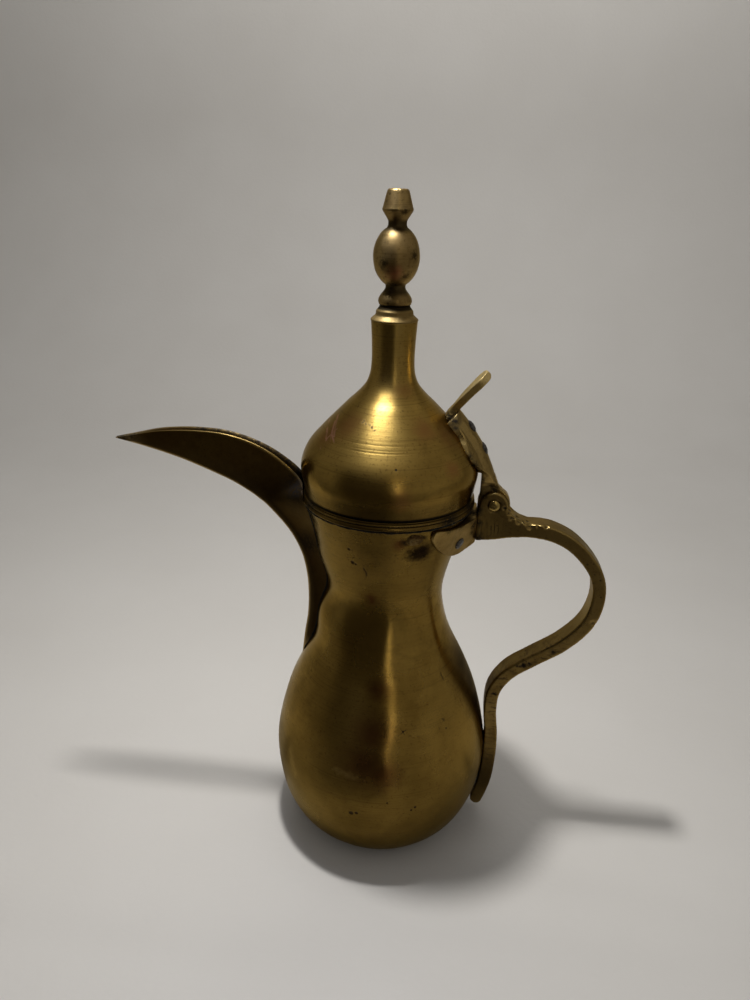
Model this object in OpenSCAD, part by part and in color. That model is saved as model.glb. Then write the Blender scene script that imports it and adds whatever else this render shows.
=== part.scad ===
// Dallah, a Gulf coffee pot in brass, about 300 mm tall.
// The hammered body, the domed lid with its tall stem and the beak are sheet work. The handle, hinge strap
// and finial are castings, held on with iron rivets and solder. The lid turns on one pin between two cheeks
// of the handle.
// +Z is up, the spout points to -X and the handle to +X, and the origin is the middle of the base.

/* [Body] */
// Thickness of the body sheet
body_wall = 1.3; // [1:0.1:1.8]
// Radius of the flat base where the pot stands
base_r = 34.8; // [34:0.1:36]
// Greatest radius of the belly
belly_r = 51.9; // [51:0.1:53]
// Radius of the waist
waist_r = 26.3; // [25.5:0.1:27]
// Radius of the body where the mouth band sits on it
mouth_r = 37.0; // [36.6:0.1:37.4]
// Height of the body sheet, up to the mouth band
body_h = 172.4; // [172:0.1:172.8]
// Height of the mouth band
band_h = 3.5; // [3:0.1:3.8]
// Radius of each strainer hole behind the spout
strainer_hole_r = 1.7; // [1.2:0.1:1.9]

/* [Spout] */
// Thickness of the spout sheet
spout_wall = 1.0; // [0.8:0.1:1.1]
// Radius of the rounded keel under the spout
keel_r = 2.3; // [2:0.1:2.6]

/* [Handle] */
// Width of the handle casting, across the pot
handle_w = 10; // [9.4:0.1:11]
// Gap between the two hinge cheeks
cheek_gap = 5.4; // [5.2:0.1:6]
// Radius of the hinge cheeks
cheek_r = 6.1; // [5.9:0.1:6.4]
// Thickness of the saddle plate round the neck
saddle_t = 1.6; // [1.3:0.1:1.9]
// Radius of the hinge pin
pin_r = 2.0; // [1.8:0.1:2.2]
// Running clearance round the hinge pin
pin_clear = 0.06; // [0.04:0.01:0.1]

/* [Lid] */
// Thickness of the lid sheet
lid_wall = 1.1; // [0.9:0.1:1.3]
// Greatest radius of the dome
dome_r = 38.8; // [38.4:0.1:39.2]
// Radius at the top of the stem
stem_r = 9.6; // [9.3:0.1:9.9]
// Height of the top of the stem
stem_top = 250.3; // [250:0.1:251]
// Gap between the lid's edge and the mouth band
lid_gap = 0.2; // [0.1:0.05:0.3]
// Greatest radius of the oval bead of the finial
bead_r = 8.8; // [8.4:0.1:9.2]
// Height of the whole pot
total_h = 300; // [298:1:302]

/* [Hinge strap] */
// Width of the casting that the strap is cut from
strap_w = 26; // [25:0.5:28]
// Thickness of the strap at its crown, down to the leg of the thumb piece
strap_t = 4.6; // [4.2:0.1:5]
// Radius of the strap's knuckle
knuckle_r = 7.0; // [6.6:0.1:7.2]
// Widest part of the thumb piece
thumb_w = 10.4; // [9:0.2:11]
// Radius of the iron rivets' shanks
rivet_r = 1.5; // [1.3:0.1:1.7]
// Radius of the iron rivets' heads
rivet_head_r = 3.0; // [2.6:0.1:3.2]
// Height of the iron rivets' heads
rivet_head_h = 0.75; // [0.6:0.05:0.9]

/* [Hidden] */
brass = [0.72, 0.55, 0.25];
old_brass = [0.60, 0.45, 0.20];
iron = [0.25, 0.25, 0.26];
solder = [0.55, 0.55, 0.52];
round_fn = 180;
small_fn = 48;
slice = 0.01;

// Curves ------------------------------------------------------------------------------------------

// One point of a Catmull-Rom curve between p1 and p2
function curve_point(p0, p1, p2, p3, t) =
    0.5 * (2 * p1 + (p2 - p0) * t + (2 * p0 - 5 * p1 + 4 * p2 - p3) * t * t
        + (3 * p1 - p0 - 3 * p2 + p3) * t * t * t);

// A smooth curve through the points, with n steps between each pair
function smooth(points, n) =
    let (last = len(points) - 1)
    [for (i = [0:last - 1]) for (k = [0:n - 1])
        curve_point(points[max(i - 1, 0)], points[i], points[i + 1], points[min(i + 2, last)], k / n),
     points[last]];

// Unit direction of a list of 2-D points at point i
function heading(points, i) =
    let (d = points[min(i + 1, len(points) - 1)] - points[max(i - 1, 0)])
    d / norm(d);

// The curve moved sideways: to its left by a positive distance
function moved(points, distance) =
    [for (i = [0:len(points) - 1])
        let (d = heading(points, i))
        points[i] + distance * [-d[1], d[0]]];

function reversed(points) = [for (i = [len(points) - 1:-1:0]) points[i]];

// The part of a profile between two heights
function between(points, low, high) = [for (p = points) if (p[1] > low && p[1] < high) p];

// Radius of a rising profile at a height
function radius_at(profile, z) = lookup(z, [for (p = profile) [p[1], p[0]]]);

// Body profile, as [radius, height] ---------------------------------------------------------------

body_profile = smooth([
    [base_r, 0], [38.9, 4.2], [44.9, 12], [49.6, 24], [belly_r, 40], [50.8, 54], [46.3, 72], [39.9, 88],
    [32.1, 104], [27.8, 117], [waist_r, 129], [28.2, 141], [33.5, 160], [mouth_r, body_h]], 5);
body_inside = moved(body_profile, body_wall);
lip_r = base_r - 1.4;
lip_h = 1.5;
band_top = body_h + band_h;
band_r = mouth_r + 1.2;
band_inner_r = mouth_r - 1.6;
band_clear_r = band_r + 0.1;
// The lid's side stays inside the band's radius up to this height above the band
lid_side_h = 5.5;
// Rows of strainer holes, from the height of the lowest one, with the pitch across each row
strainer_rows = 5;
strainer_low = 131;
strainer_rise = 6;
strainer_pitch = 4.8;

// Everything inside the body's skin, moved outward by a distance
module body_bulk(out = 0, low = -1, high = body_h) {
    skin = between(moved(body_profile, -out), low, high + slice);
    foot = skin[0];
    head = skin[len(skin) - 1];
    rotate_extrude($fn = round_fn)
        polygon(concat([[0, foot[1]]], skin, [[0, head[1]]]));
}

module body_shell() {
    color(brass)
    difference() {
        rotate_extrude($fn = round_fn)
            polygon(concat(body_profile, reversed(between(body_inside, lip_h + 0.4, body_h)),
                [[lip_r, lip_h], [lip_r, 0]]));
        for (row = [0:strainer_rows - 1])
            strainer_row(strainer_low + strainer_rise * row, 2 + row % 2);
        on_wings() rivet_axis() rivet_hole();
    }
}

// One row of strainer holes through the neck, behind the spout
module strainer_row(height, count) {
    for (k = [0:count - 1])
        translate([-40, strainer_pitch * (k - (count - 1) / 2), height])
            rotate([0, 90, 0])
                cylinder(r = strainer_hole_r, h = 20, $fn = small_fn);
}

module base_plate() {
    color(old_brass)
    cylinder(r = lip_r, h = lip_h, $fn = round_fn);
}

// Band round the mouth, with a thin bead near its top edge
module rim_band() {
    bead = 0.5;
    color(brass)
    rotate_extrude($fn = round_fn) {
        polygon([[band_inner_r, body_h], [band_r - 0.3, body_h], [band_r, body_h + 0.5],
            [band_r - 0.4, body_h + 2.1], [band_r - 0.9, band_top - 0.2], [band_r - 1.2, band_top],
            [band_inner_r, band_top]]);
        translate([band_r - 0.75, band_top - 0.95])
            circle(r = bead, $fn = small_fn);
    }
}

// Spout -------------------------------------------------------------------------------------------
// Each row of the spout gives its keel and the upper edge of its wall on one side:
// [keel x, keel z, edge x, edge half width, edge z]. The first rows end inside the neck, the last one at
// the tip.

spout_rows = smooth([
    [-40.2, 87.0, -38.0, 0.9, 88.4],
    [-38.8, 99.2, -32.0, 3.3, 100.5],
    [-37.2, 110.0, -27.5, 4.6, 112.5],
    [-36.8, 121.0, -25.0, 5.4, 124.0],
    [-37.5, 131.5, -24.5, 6.8, 136.0],
    [-40.0, 142.5, -26.0, 9.6, 148.0],
    [-45.6, 153.4, -28.5, 12.6, 161.0],
    [-54.5, 163.9, -33.4, 13.8, 174.6],
    [-59.6, 168.3, -38.3, 5.4, 179.2],
    [-64.0, 171.4, -44.0, 4.0, 184.9],
    [-71.3, 175.6, -53.0, 3.2, 191.4],
    [-79.1, 179.0, -63.5, 2.9, 196.1],
    [-86.6, 182.0, -74.5, 3.0, 198.7],
    [-94.1, 184.8, -85.0, 3.2, 199.3],
    [-101.9, 187.2, -95.0, 3.2, 199.0],
    [-109.2, 189.2, -105.0, 2.9, 197.9],
    [-117.1, 191.1, -114.6, 2.2, 195.7],
    [-125.0, 192.7, -124.6, 1.0, 193.4]], 3);
keel_steps = 4;
wall_steps = 5;

// Half of a section, from the keel to the edge, as [distance from the keel, half width]
function half_section(length, keel, width, start) =
    concat(
        [for (k = [0:keel_steps])
            let (a = 90 * k / keel_steps)
            [start + keel * (1 - cos(a)), keel * sin(a)]],
        [for (k = [1:wall_steps]) let (t = k / wall_steps)
            [start + keel + (length - start - keel) * t, keel + (width - keel) * pow(t, 1.35)]]);

// The points of one spout section: the outside from edge to edge, then the inside back again
function spout_section(row) =
    let (base = [row[0], row[1]],
         along = [row[2], row[4]] - base,
         length = norm(along),
         d = along / length,
         wall = min(spout_wall, 0.42 * row[3]),
         keel = min(keel_r, 0.8 * row[3], 0.4 * length),
         outer = half_section(length, keel, row[3], 0),
         inner = half_section(length, max(keel - wall, 0.2), row[3] - wall, wall),
         last = len(outer) - 1,
         flat = concat(
            [for (k = [last:-1:0]) [outer[k][0], -outer[k][1]]],
            [for (k = [1:last]) outer[k]],
            [for (k = [last:-1:0]) inner[k]],
            [for (k = [1:last]) [inner[k][0], -inner[k][1]]]))
    [for (q = flat) [base[0] + d[0] * q[0], q[1], base[1] + d[1] * q[0]]];

module spout_sheet() {
    sections = [for (row = spout_rows) spout_section(row)];
    ring = len(sections[0]);
    half = ring / 2;
    rows = len(sections);
    // Each end is closed by strips between the outside and the inside
    strips = [for (k = [0:half - 2]) [k, k + 1, ring - 2 - k, ring - 1 - k]];
    sides = [for (i = [0:rows - 2]) for (k = [0:ring - 1])
        let (a = i * ring + k, b = i * ring + (k + 1) % ring)
        [a, b, b + ring, a + ring]];
    top = (rows - 1) * ring;
    polyhedron(
        points = [for (s = sections) each s],
        faces = concat(sides,
            [for (f = strips) reversed(f)],
            [for (f = strips) [for (k = f) top + k]]),
        convexity = 8);
}

// The sheet's edges meet the neck and are soldered to it
module spout() {
    color(brass)
    difference() {
        spout_sheet();
        body_bulk();
        translate([0, 0, body_h - slice])
            cylinder(r = band_r, h = band_h + lid_side_h, $fn = round_fn);
    }
}

// Handle ------------------------------------------------------------------------------------------
// The handle's middle line, with its thickness: [x, z, thickness]

pin_x = 46.6;
pin_z = 173.4;
// The pin's peened heads lie in shallow sinks in the cheeks
pin_head_r = pin_r + 0.6;
sink_r = pin_r + 1.1;
sink_depth = 0.5;
// The handle's block ends in a flat pad here
pad_x = 39.6;
handle_line = smooth([
    [62, 162.6, 6.2], [71.5, 161.8, 6.6], [81, 157.8, 6.2], [89.3, 150.4, 6], [95.4, 140.8, 6],
    [96.7, 129.5, 6], [93.4, 117.5, 6.1], [84.3, 106, 6.2], [71.5, 96.2, 6.2], [60.4, 87.2, 6.1],
    [54.4, 76.5, 6], [53.6, 64, 6.1], [54.9, 52, 6.3], [55.2, 39, 6.4], [54.2, 25.5, 6.4],
    [52.6, 17, 6.2], [50.6, 9.8, 5.8]], 5);
handle_mid = [for (p = handle_line) [p[0], p[1]]];
foot_end = handle_line[len(handle_line) - 1];

// One side of the handle: the outer side is 1 and the inner side is -1
function handle_side(side) =
    [for (i = [0:len(handle_mid) - 1])
        let (d = heading(handle_mid, i))
        handle_mid[i] + side * handle_line[i][2] / 2 * [-d[1], d[0]]];

// Points of an arc
function arc(middle, radius, from, to, steps) =
    [for (k = [0:steps]) let (a = from + (to - from) * k / steps) middle + radius * [cos(a), sin(a)]];

// Side view: pad, cheek, outer side, rounded foot, inner side and the underside of the block
function handle_outline() =
    let (down = heading(handle_mid, len(handle_mid) - 1),
         turn = atan2(down[1], down[0]))
    concat(
        [[pad_x, 156.4], [pad_x, 171]],
        arc([pin_x, pin_z], cheek_r, 180, -12, 24),
        [[pin_x + 7.3, pin_z - 2.8], [56.2, 168.4], [58.6, 166.9]],
        handle_side(1),
        arc([foot_end[0], foot_end[1]], foot_end[2] / 2, turn + 72, turn - 72, 8),
        reversed(handle_side(-1)),
        [[53.9, 158.6], [48, 157.3]]);

// Puts a side view, drawn as x and z, across the pot with the given width
module across(width) {
    rotate([90, 0, 0])
        linear_extrude(height = width, center = true)
            children();
}

module handle() {
    color(brass)
    difference() {
        across(handle_w) polygon(handle_outline());
        knuckle_slot();
        at_pin() cylinder(r = pin_r, h = handle_w + 2, center = true, $fn = small_fn);
        for (side = [-1, 1])
            at_pin() translate([0, 0, side * handle_w / 2])
                cylinder(r = sink_r, h = 2 * sink_depth, center = true, $fn = small_fn);
    }
}

// Room between the cheeks for the strap's knuckle, open above and behind for the lid's swing
module knuckle_slot() {
    room = 8.2;
    across(cheek_gap)
        polygon(concat(
            arc([pin_x, pin_z], room, 180, 324, 18),
            [[pin_x + 13, pin_z - 4.6], [pin_x + 13, pin_z + 8], [pin_x - room, pin_z + 8]]));
}

module at_pin() {
    translate([pin_x, 0, pin_z])
        rotate([90, 0, 0])
            children();
}

// Pin with a peened head at each end, sunk in the cheeks
module hinge_pin() {
    half = handle_w / 2;
    seat = half - sink_depth;
    crown_h = 0.5;
    edge = [pin_head_r - 1, half + 0.9 * crown_h];
    color(old_brass)
    at_pin()
        rotate_extrude($fn = small_fn)
            polygon([[0, -half - crown_h], [edge[0], -edge[1]], [pin_head_r, -half], [pin_head_r, -seat],
                [pin_r, -seat], [pin_r, seat], [pin_head_r, seat], [pin_head_r, half],
                edge, [0, half + crown_h]]);
}

// Saddle ------------------------------------------------------------------------------------------
// The saddle carries the handle on a flat pad, and hugs the back of the neck with a rounded wing on each
// side. Each wing leaves the neck along a plane that touches it at wing_turn, and runs straight to the pad.

wing_turn = 35;
wing_z = 162;
wing_l = 26;
wing_r = radius_at(body_profile, wing_z) + saddle_t;
wing_slope = atan((radius_at(body_profile, 170) - radius_at(body_profile, 154)) / 16);

// Puts the children on both wings: X is square to the wing, and Y runs along it towards the pad
module on_wings() {
    for (side = [-1, 1])
        rotate([0, 0, side * wing_turn])
            translate([wing_r, 0, wing_z])
                rotate([0, wing_slope, 0])
                    scale([1, -side, 1])
                        children();
}

module handle_saddle() {
    color(brass)
    difference() {
        intersection() {
            union() {
                body_bulk(saddle_t, 148, 171.4);
                on_wings() translate([-wing_l, 0, -14]) cube(wing_l);
            }
            union() {
                for (side = [-1, 1])
                    rotate([0, 0, side * wing_turn])
                        rotate([90, 0, 90])
                            linear_extrude(height = 60)
                                scale([side, 1]) wing_outline();
            }
            translate([0, -50, 140]) cube([pad_x, 100, 40]);
        }
        body_bulk();
        translate([0, 0, body_h - 1])
            cylinder(r = band_clear_r, h = 8, $fn = round_fn);
        on_wings() rivet_axis() rivet_hole();
    }
}

// One wing seen square on: the pad lies at -22 and the rounded end at 13
module wing_outline() {
    polygon(concat(
        smooth([[-23, 157.4], [-19, 154.8], [-15, 152.7], [-10.5, 151.9], [-5, 152.7], [1.5, 155.8],
            [7.4, 160.2], [11.2, 164.6], [12.4, 168.6], [11.2, 170.7], [7.4, 169.8], [0, 168.6],
            [-7, 168.2], [-13, 168.8]], 3),
        [[-23, 169]]));
}

rivet_along = 7.4;
rivet_down = 3.6;
wing_head_r = 2.7;

module rivet_axis() {
    translate([0, rivet_along, -rivet_down])
        rotate([0, 90, 0])
            children();
}

// Hole for a rivet's shank, along Z
module rivet_hole() {
    cylinder(r = rivet_r, h = 20, center = true, $fn = small_fn);
}

// A rivet's domed head, standing on Z = 0, with a short skirt below where its seat is round
module domed_head(radius, height, skirt = 0) {
    dome = (radius * radius + height * height) / (2 * height);
    rotate_extrude($fn = small_fn)
        polygon(concat([[0, -skirt], [radius, -skirt]],
            [for (k = [0:5])
                let (a = asin(radius / dome) * (1 - k / 5))
                [dome * sin(a), dome * cos(a) - dome + height]]));
}

module saddle_rivets() {
    shank_l = 5.2;
    color(iron)
    on_wings() rivet_axis() {
        domed_head(wing_head_r, rivet_head_h);
        translate([0, 0, -shank_l])
            cylinder(r = rivet_r, h = shank_l, $fn = small_fn);
    }
}

// Solder between the belly and the foot of the handle
module foot_solder() {
    solder_w = 7;
    color(solder)
    difference() {
        across(solder_w)
            polygon(concat([for (p = handle_side(-1)) if (p[1] > 16 && p[1] < 47) p],
                [[46, 15.5], [44, 20], [44, 44], [51, 50]]));
        body_bulk();
    }
}

// Lid ---------------------------------------------------------------------------------------------

lid_low = band_top + lid_gap;
lid_profile = smooth([
    [36.9, lid_low], [37.9, 181.5], [dome_r, 187], [38.1, 192], [35.3, 198], [30.4, 204], [24.8, 210],
    [18.9, 216], [14.7, 220], [11.2, 224.2], [9.5, 228.6], [8.95, 234], [9.1, 241], [stem_r, stem_top]], 4);
lid_inside = moved(lid_profile, lid_wall);
// Rings scribed round the dome on the lathe
ring_heights = [203.1, 204.0, 205.7];
ring_cut_r = 0.35;

// Everything inside a lid profile
module lid_bulk(skin) {
    rotate_extrude($fn = round_fn)
        lid_bulk_outline(skin);
}

module lid_bulk_outline(skin) {
    polygon(concat([[0, skin[0][1]]], skin, [[0, skin[len(skin) - 1][1]]]));
}

module lid_dome() {
    color(brass)
    difference() {
        rotate_extrude($fn = round_fn)
            difference() {
                polygon(concat(lid_profile, [[stem_r - lid_wall, stem_top]],
                    reversed(between(lid_inside, lid_low, stem_top))));
                for (z = ring_heights)
                    translate([radius_at(lid_profile, z) + 0.15, z])
                        circle(r = ring_cut_r, $fn = 16);
            }
        at_strap_rivets() rivet_hole();
    }
}

// Flange inside the lid that locates it in the mouth
module lid_skirt() {
    skirt_r = band_inner_r - 1;
    color(old_brass)
    rotate_extrude($fn = round_fn)
        intersection() {
            polygon([[skirt_r - 1.1, 171], [skirt_r, 171], [skirt_r, 175.6], [40, 180.5], [40, 182],
                [skirt_r - 1.1, 177.5]]);
            lid_bulk_outline(lid_inside);
        }
}

tang_r = 2.2;

// Stepped cap that closes the stem
module stem_cap() {
    plug_r = stem_r - lid_wall - 0.1;
    color(brass)
    rotate_extrude($fn = round_fn)
        polygon([[tang_r, 247], [plug_r - 0.3, 247], [plug_r, stem_top],
            [stem_r + 0.15, stem_top], [stem_r + 0.15, 250.9], [9.1, 251.5], [7.9, 252.5], [7.7, 253],
            [7.6, 254.2], [7.2, 254.7], [6.4, 255.7], [6.2, 256.3], [tang_r, 256.3]]);
}

// Turned finial: a foot ring, an oval bead and a cut double cone, on a tang through the cap
module finial() {
    bead_mid = 275.2;
    bead_half = 12;
    color(brass)
    rotate_extrude($fn = round_fn)
        polygon(concat(
            [[0, 246], [tang_r, 246], [tang_r, 256.3], [5.7, 256.3], [6.2, 256.9], [6.5, 258], [6.3, 259.2],
             [5.6, 260.5], [4.6, 261.8], [4, 262.7], [3.8, 263.4]],
            [for (a = [-64:8:64]) [bead_r * cos(a), bead_mid + bead_half * sin(a)]],
            [[3.5, 287], [3.5, 288.3], [4.2, 289.6], [5.7, 292.1], [5.8, 292.6], [5.6, 293.2],
             [4.4, total_h - 2], [4, total_h - 0.6], [3.4, total_h], [0, total_h]]));
}

// Hinge strap -------------------------------------------------------------------------------------
// A cast leaf with a raised crown. It follows one arc over the back of the dome, widens into two rounded
// lobes and ends below in a narrow web with the knuckle.

arc_x = -25.9;
arc_z = 162.0;
arc_out = 75.9;
leg_out = arc_out - strap_t;
flank_r = 72.4;
edge_r = 70.2;
crown_half = 6.8;
crown_r = (pow(crown_half, 2) + pow(arc_out - flank_r, 2)) / (2 * (arc_out - flank_r));

// Puts the children at an angle of the arc, with their Z axis pointing out from it
module on_arc(angle) {
    translate([arc_x, 0, arc_z])
        rotate([0, 90 - angle, 0])
            children();
}

// Turns a section, drawn as [distance from the arc's axis, half width], along the arc
module along_arc(low, high) {
    translate([arc_x, 0, arc_z])
        rotate([90, 0, 0])
            rotate([0, 0, low])
                rotate_extrude(angle = high - low, $fn = 180)
                    children();
}

// Crown in the middle, and thinner flanks that reach down to the dome
module strap_section() {
    root = 62;
    polygon([[root, -strap_w / 2], [edge_r, -strap_w / 2], [flank_r, -crown_half], [flank_r, crown_half],
        [edge_r, strap_w / 2], [root, strap_w / 2]]);
    intersection() {
        translate([flank_r - 1, -crown_half])
            square([5, 2 * crown_half]);
        translate([arc_out - crown_r, 0])
            circle(r = crown_r, $fn = round_fn);
    }
}

neck_w = cheek_gap - 0.4;

// One side of the strap as it is seen from behind, from its top end down to the web: [half width, z]
strap_edge = smooth([[0, 215.6], [3.4, 214.6], [5.9, 211.6], [7.6, 207.8], [8.6, 204.2], [10.9, 201.2],
    [12.5, 198.4], [11.9, 195.4], [9.6, 192.4], [6.6, 189.8], [4.7, 187], [3.6, 184],
    [neck_w / 2, 181.5], [neck_w / 2, 178]], 4);

module strap_outline() {
    polygon(concat(strap_edge, [for (p = reversed(strap_edge)) [-p[0], p[1]]]));
}

// Angles of the arc: the strap's two ends, the two ends of the thumb piece's leg, and the rivets
strap_low = 14;
strap_high = 43.8;
leg_low = 31;
leg_high = 44.8;
rivet_angles = [36.9, 28.5];

module at_strap_rivets() {
    for (angle = rivet_angles)
        on_arc(angle) translate([0, 0, arc_out])
            children();
}

module thumb_leg() {
    leg_w = 8;
    root = 60;
    along_arc(leg_low, leg_high)
        translate([root, -leg_w / 2]) square([leg_out - root, leg_w]);
}

module hinge_strap() {
    web_x = 40.3;
    color(brass)
    difference() {
        union() {
            difference() {
                intersection() {
                    along_arc(strap_low, strap_high) strap_section();
                    rotate([90, 0, 90])
                        linear_extrude(height = 80) strap_outline();
                }
                translate([0, -20, 170]) cube([web_x, 40, 18.5]);
                at_pin() cylinder(r = knuckle_r + 1.5, h = 40, center = true, $fn = round_fn);
            }
            across(neck_w) {
                translate([pin_x, pin_z])
                    circle(r = knuckle_r, $fn = round_fn);
                polygon([[41.2, 188], [web_x, 185], [web_x, 177], [pin_x - knuckle_r + 0.2, pin_z + 1],
                    [pin_x, pin_z], [pin_x + 4.6, pin_z + 5.1], [48.2, 181.4], [46.2, 186.3]]);
            }
        }
        at_pin() cylinder(r = pin_r + pin_clear, h = 20, center = true, $fn = small_fn);
        at_strap_rivets() rivet_hole();
        thumb_leg();
        thumb_leaf();
        lid_bulk(lid_profile);
    }
}

// Thumb piece: a leg under the strap, then a bend, then a leaf that stands up
leaf_x = 25.6;
leaf_z = 213.6;
leaf_angle = 47;
leaf_l = 22.5;

module thumb_piece() {
    color(brass)
    difference() {
        union() {
            thumb_leg();
            thumb_leaf();
        }
        lid_bulk(lid_profile);
        at_strap_rivets() rivet_hole();
    }
}

module thumb_leaf() {
    intersection() {
        across(20) leaf_side();
        translate([leaf_x, 0, leaf_z])
            rotate([0, -leaf_angle, 0])
                translate([0, 0, -15])
                    linear_extrude(height = 30) leaf_outline();
    }
}

// The leaf seen square on, with a round tip
module leaf_outline() {
    bend_w = 3.6;
    side = smooth([[-8, bend_w / 2 + 1.6], [-2.5, bend_w / 2 + 0.7], [2, bend_w / 2], [8, 3.6],
        [leaf_l - thumb_w / 2, thumb_w / 2]], 4);
    translate([leaf_l - thumb_w / 2, 0])
        circle(r = thumb_w / 2, $fn = round_fn);
    polygon(concat(side, [for (p = reversed(side)) [p[0], -p[1]]]));
}

// Side view of the leaf and its bend
module leaf_side() {
    polygon(concat(
        [[22.6, 211.2], [24.2, 214.1]],
        smooth([[26.4, 216.7], [31.5, 223.2], [37.6, 230.0], [38.9, 231.2], [40.4, 230.6], [40.8, 228.9],
            [38.6, 226.4], [32.7, 219.7], [29.2, 215.2]], 4),
        [[27.4, 212.6], [25.2, 210.4]]));
}

module strap_rivets() {
    shank_l = strap_t + 3.6;
    color(iron)
    at_strap_rivets() {
        difference() {
            domed_head(rivet_head_r, rivet_head_h, skirt = 0.7);
            translate([0, 0, -crown_r])
                rotate([0, 90, 0])
                    cylinder(r = crown_r, h = 20, center = true, $fn = round_fn);
        }
        translate([0, 0, -shank_l])
            cylinder(r = rivet_r, h = shank_l, $fn = small_fn);
    }
}

body_shell();
base_plate();
rim_band();
spout();
handle();
handle_saddle();
saddle_rivets();
foot_solder();
hinge_pin();
lid_dome();
lid_skirt();
stem_cap();
finial();
hinge_strap();
thumb_piece();
strap_rivets();
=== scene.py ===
import math

import bmesh
import bpy
import numpy as np
from mathutils import Matrix, Vector


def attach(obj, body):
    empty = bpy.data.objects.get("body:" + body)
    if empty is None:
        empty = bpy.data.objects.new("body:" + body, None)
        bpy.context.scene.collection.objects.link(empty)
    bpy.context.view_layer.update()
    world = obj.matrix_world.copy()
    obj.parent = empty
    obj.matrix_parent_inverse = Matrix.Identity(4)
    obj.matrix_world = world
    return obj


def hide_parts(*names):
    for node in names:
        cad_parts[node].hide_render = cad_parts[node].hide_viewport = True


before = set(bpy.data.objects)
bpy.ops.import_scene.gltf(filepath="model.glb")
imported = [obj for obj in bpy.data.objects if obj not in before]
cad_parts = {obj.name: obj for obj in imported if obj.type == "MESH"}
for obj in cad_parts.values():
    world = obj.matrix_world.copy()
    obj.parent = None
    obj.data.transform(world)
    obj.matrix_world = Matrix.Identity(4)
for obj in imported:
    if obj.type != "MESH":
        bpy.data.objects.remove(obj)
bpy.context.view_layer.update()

# The room ------------------------------------------------------------------------------------------------
# A pale painted shelf with a pale room round it, one soft lamp overhead and a dim side where the camera
# stands, which is what brass shows back as its dark middle.

MM = 0.001


def put(tree, kind, inputs=None, **props):
    """A node in a tree. A socket given as an input is linked, and anything else is its value."""
    made = tree.nodes.new(kind)
    for key, value in props.items():
        setattr(made, key, value)
    for key, value in (inputs or {}).items():
        socket = made.inputs[key]
        if isinstance(value, bpy.types.NodeSocket):
            tree.links.new(value, socket)
        else:
            socket.default_value = value
    return made


def tree_of(*values):
    """The tree that the first node socket among some values belongs to."""
    return next(value.id_data for value in values if isinstance(value, bpy.types.NodeSocket))


def math_node(operation, *values, clamp=False):
    made = put(tree_of(*values), "ShaderNodeMath", dict(enumerate(values)), operation=operation,
               use_clamp=clamp)
    return made.outputs[0]


def noise(where, scale, detail, rough=0.5, distort=0.0):
    return put(where.id_data, "ShaderNodeTexNoise", {"Vector": where, "Scale": scale, "Detail": detail,
               "Roughness": rough, "Distortion": distort}).outputs["Fac"]


def fade(value, low, high, out_low=0.0, out_high=1.0):
    """A smooth step of a value between two limits."""
    return put(value.id_data, "ShaderNodeMapRange", {"Value": value, "From Min": low, "From Max": high,
               "To Min": out_low, "To Max": out_high}, interpolation_type="SMOOTHSTEP").outputs[0]


def times(a, b):
    return math_node("MULTIPLY", a, b)


def plus(a, b):
    return math_node("ADD", a, b)


def minus(a, b):
    return math_node("SUBTRACT", a, b)


def blend(factor, a, b):
    tree = factor.id_data
    made = tree.nodes.new("ShaderNodeMix")
    made.data_type = "RGBA"
    made.clamp_factor = True
    for index, value in ((0, factor), (6, a), (7, b)):
        if isinstance(value, bpy.types.NodeSocket):
            tree.links.new(value, made.inputs[index])
        else:
            made.inputs[index].default_value = value
    return made.outputs[2]


def rgb(r, g, b):
    return (r, g, b, 1.0)


def shader(name, **values):
    """A new material with its shader's own sockets set, as (material, shader node, coordinates)."""
    material = bpy.data.materials.new(name)
    material.use_nodes = True
    tree = material.node_tree
    skin = tree.nodes["Principled BSDF"]
    for key, value in values.items():
        skin.inputs[key.replace("_", " ")].default_value = value
    where = tree.nodes.new("ShaderNodeTexCoord").outputs["Object"]
    return material, skin, where


def dress(skin, colour, gloss=None, bump=None):
    """Links a colour, a roughness and a bump, given as (height, strength, distance), to a shader."""
    tree = skin.id_data
    tree.links.new(colour, skin.inputs["Base Color"])
    if gloss is not None:
        tree.links.new(gloss, skin.inputs["Roughness"])
    if bump is not None:
        relief = put(tree, "ShaderNodeBump", {"Height": bump[0], "Strength": bump[1], "Distance": bump[2]})
        tree.links.new(relief.outputs[0], skin.inputs["Normal"])


def add_object(name, data):
    made = bpy.data.objects.new(name, data)
    bpy.context.scene.collection.objects.link(made)
    return made


def mesh_piece(name, vertices, faces, material):
    data = bpy.data.meshes.new(name)
    data.from_pydata([tuple(v) for v in vertices], [], faces)
    data.update()
    data.materials.append(material)
    data.shade_smooth()
    return add_object(name, data)


shelf_paint, skin, where = shader("shelf_paint", Roughness=0.62)
tone = noise(where, 9.0, 4.0)
dress(skin, blend(tone, rgb(0.60, 0.585, 0.565), rgb(0.66, 0.65, 0.635)),
      bump=(noise(where, 260.0, 2.0), 0.25, 0.0006))

# The shelf's half width, where it starts to rise behind and how high, and the line of its front edge, in m
shelf_half, shelf_back, shelf_rise, wall_top = 2.4, 0.52, 0.4, 1.5
edge_middle, edge_slant, edge_left, floor_front = -0.134, -0.31, -0.6, -2.2


def shelf_front(x):
    """Y of the shelf's front edge, which runs at a slant to the pot."""
    return edge_middle + edge_slant * x


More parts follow.
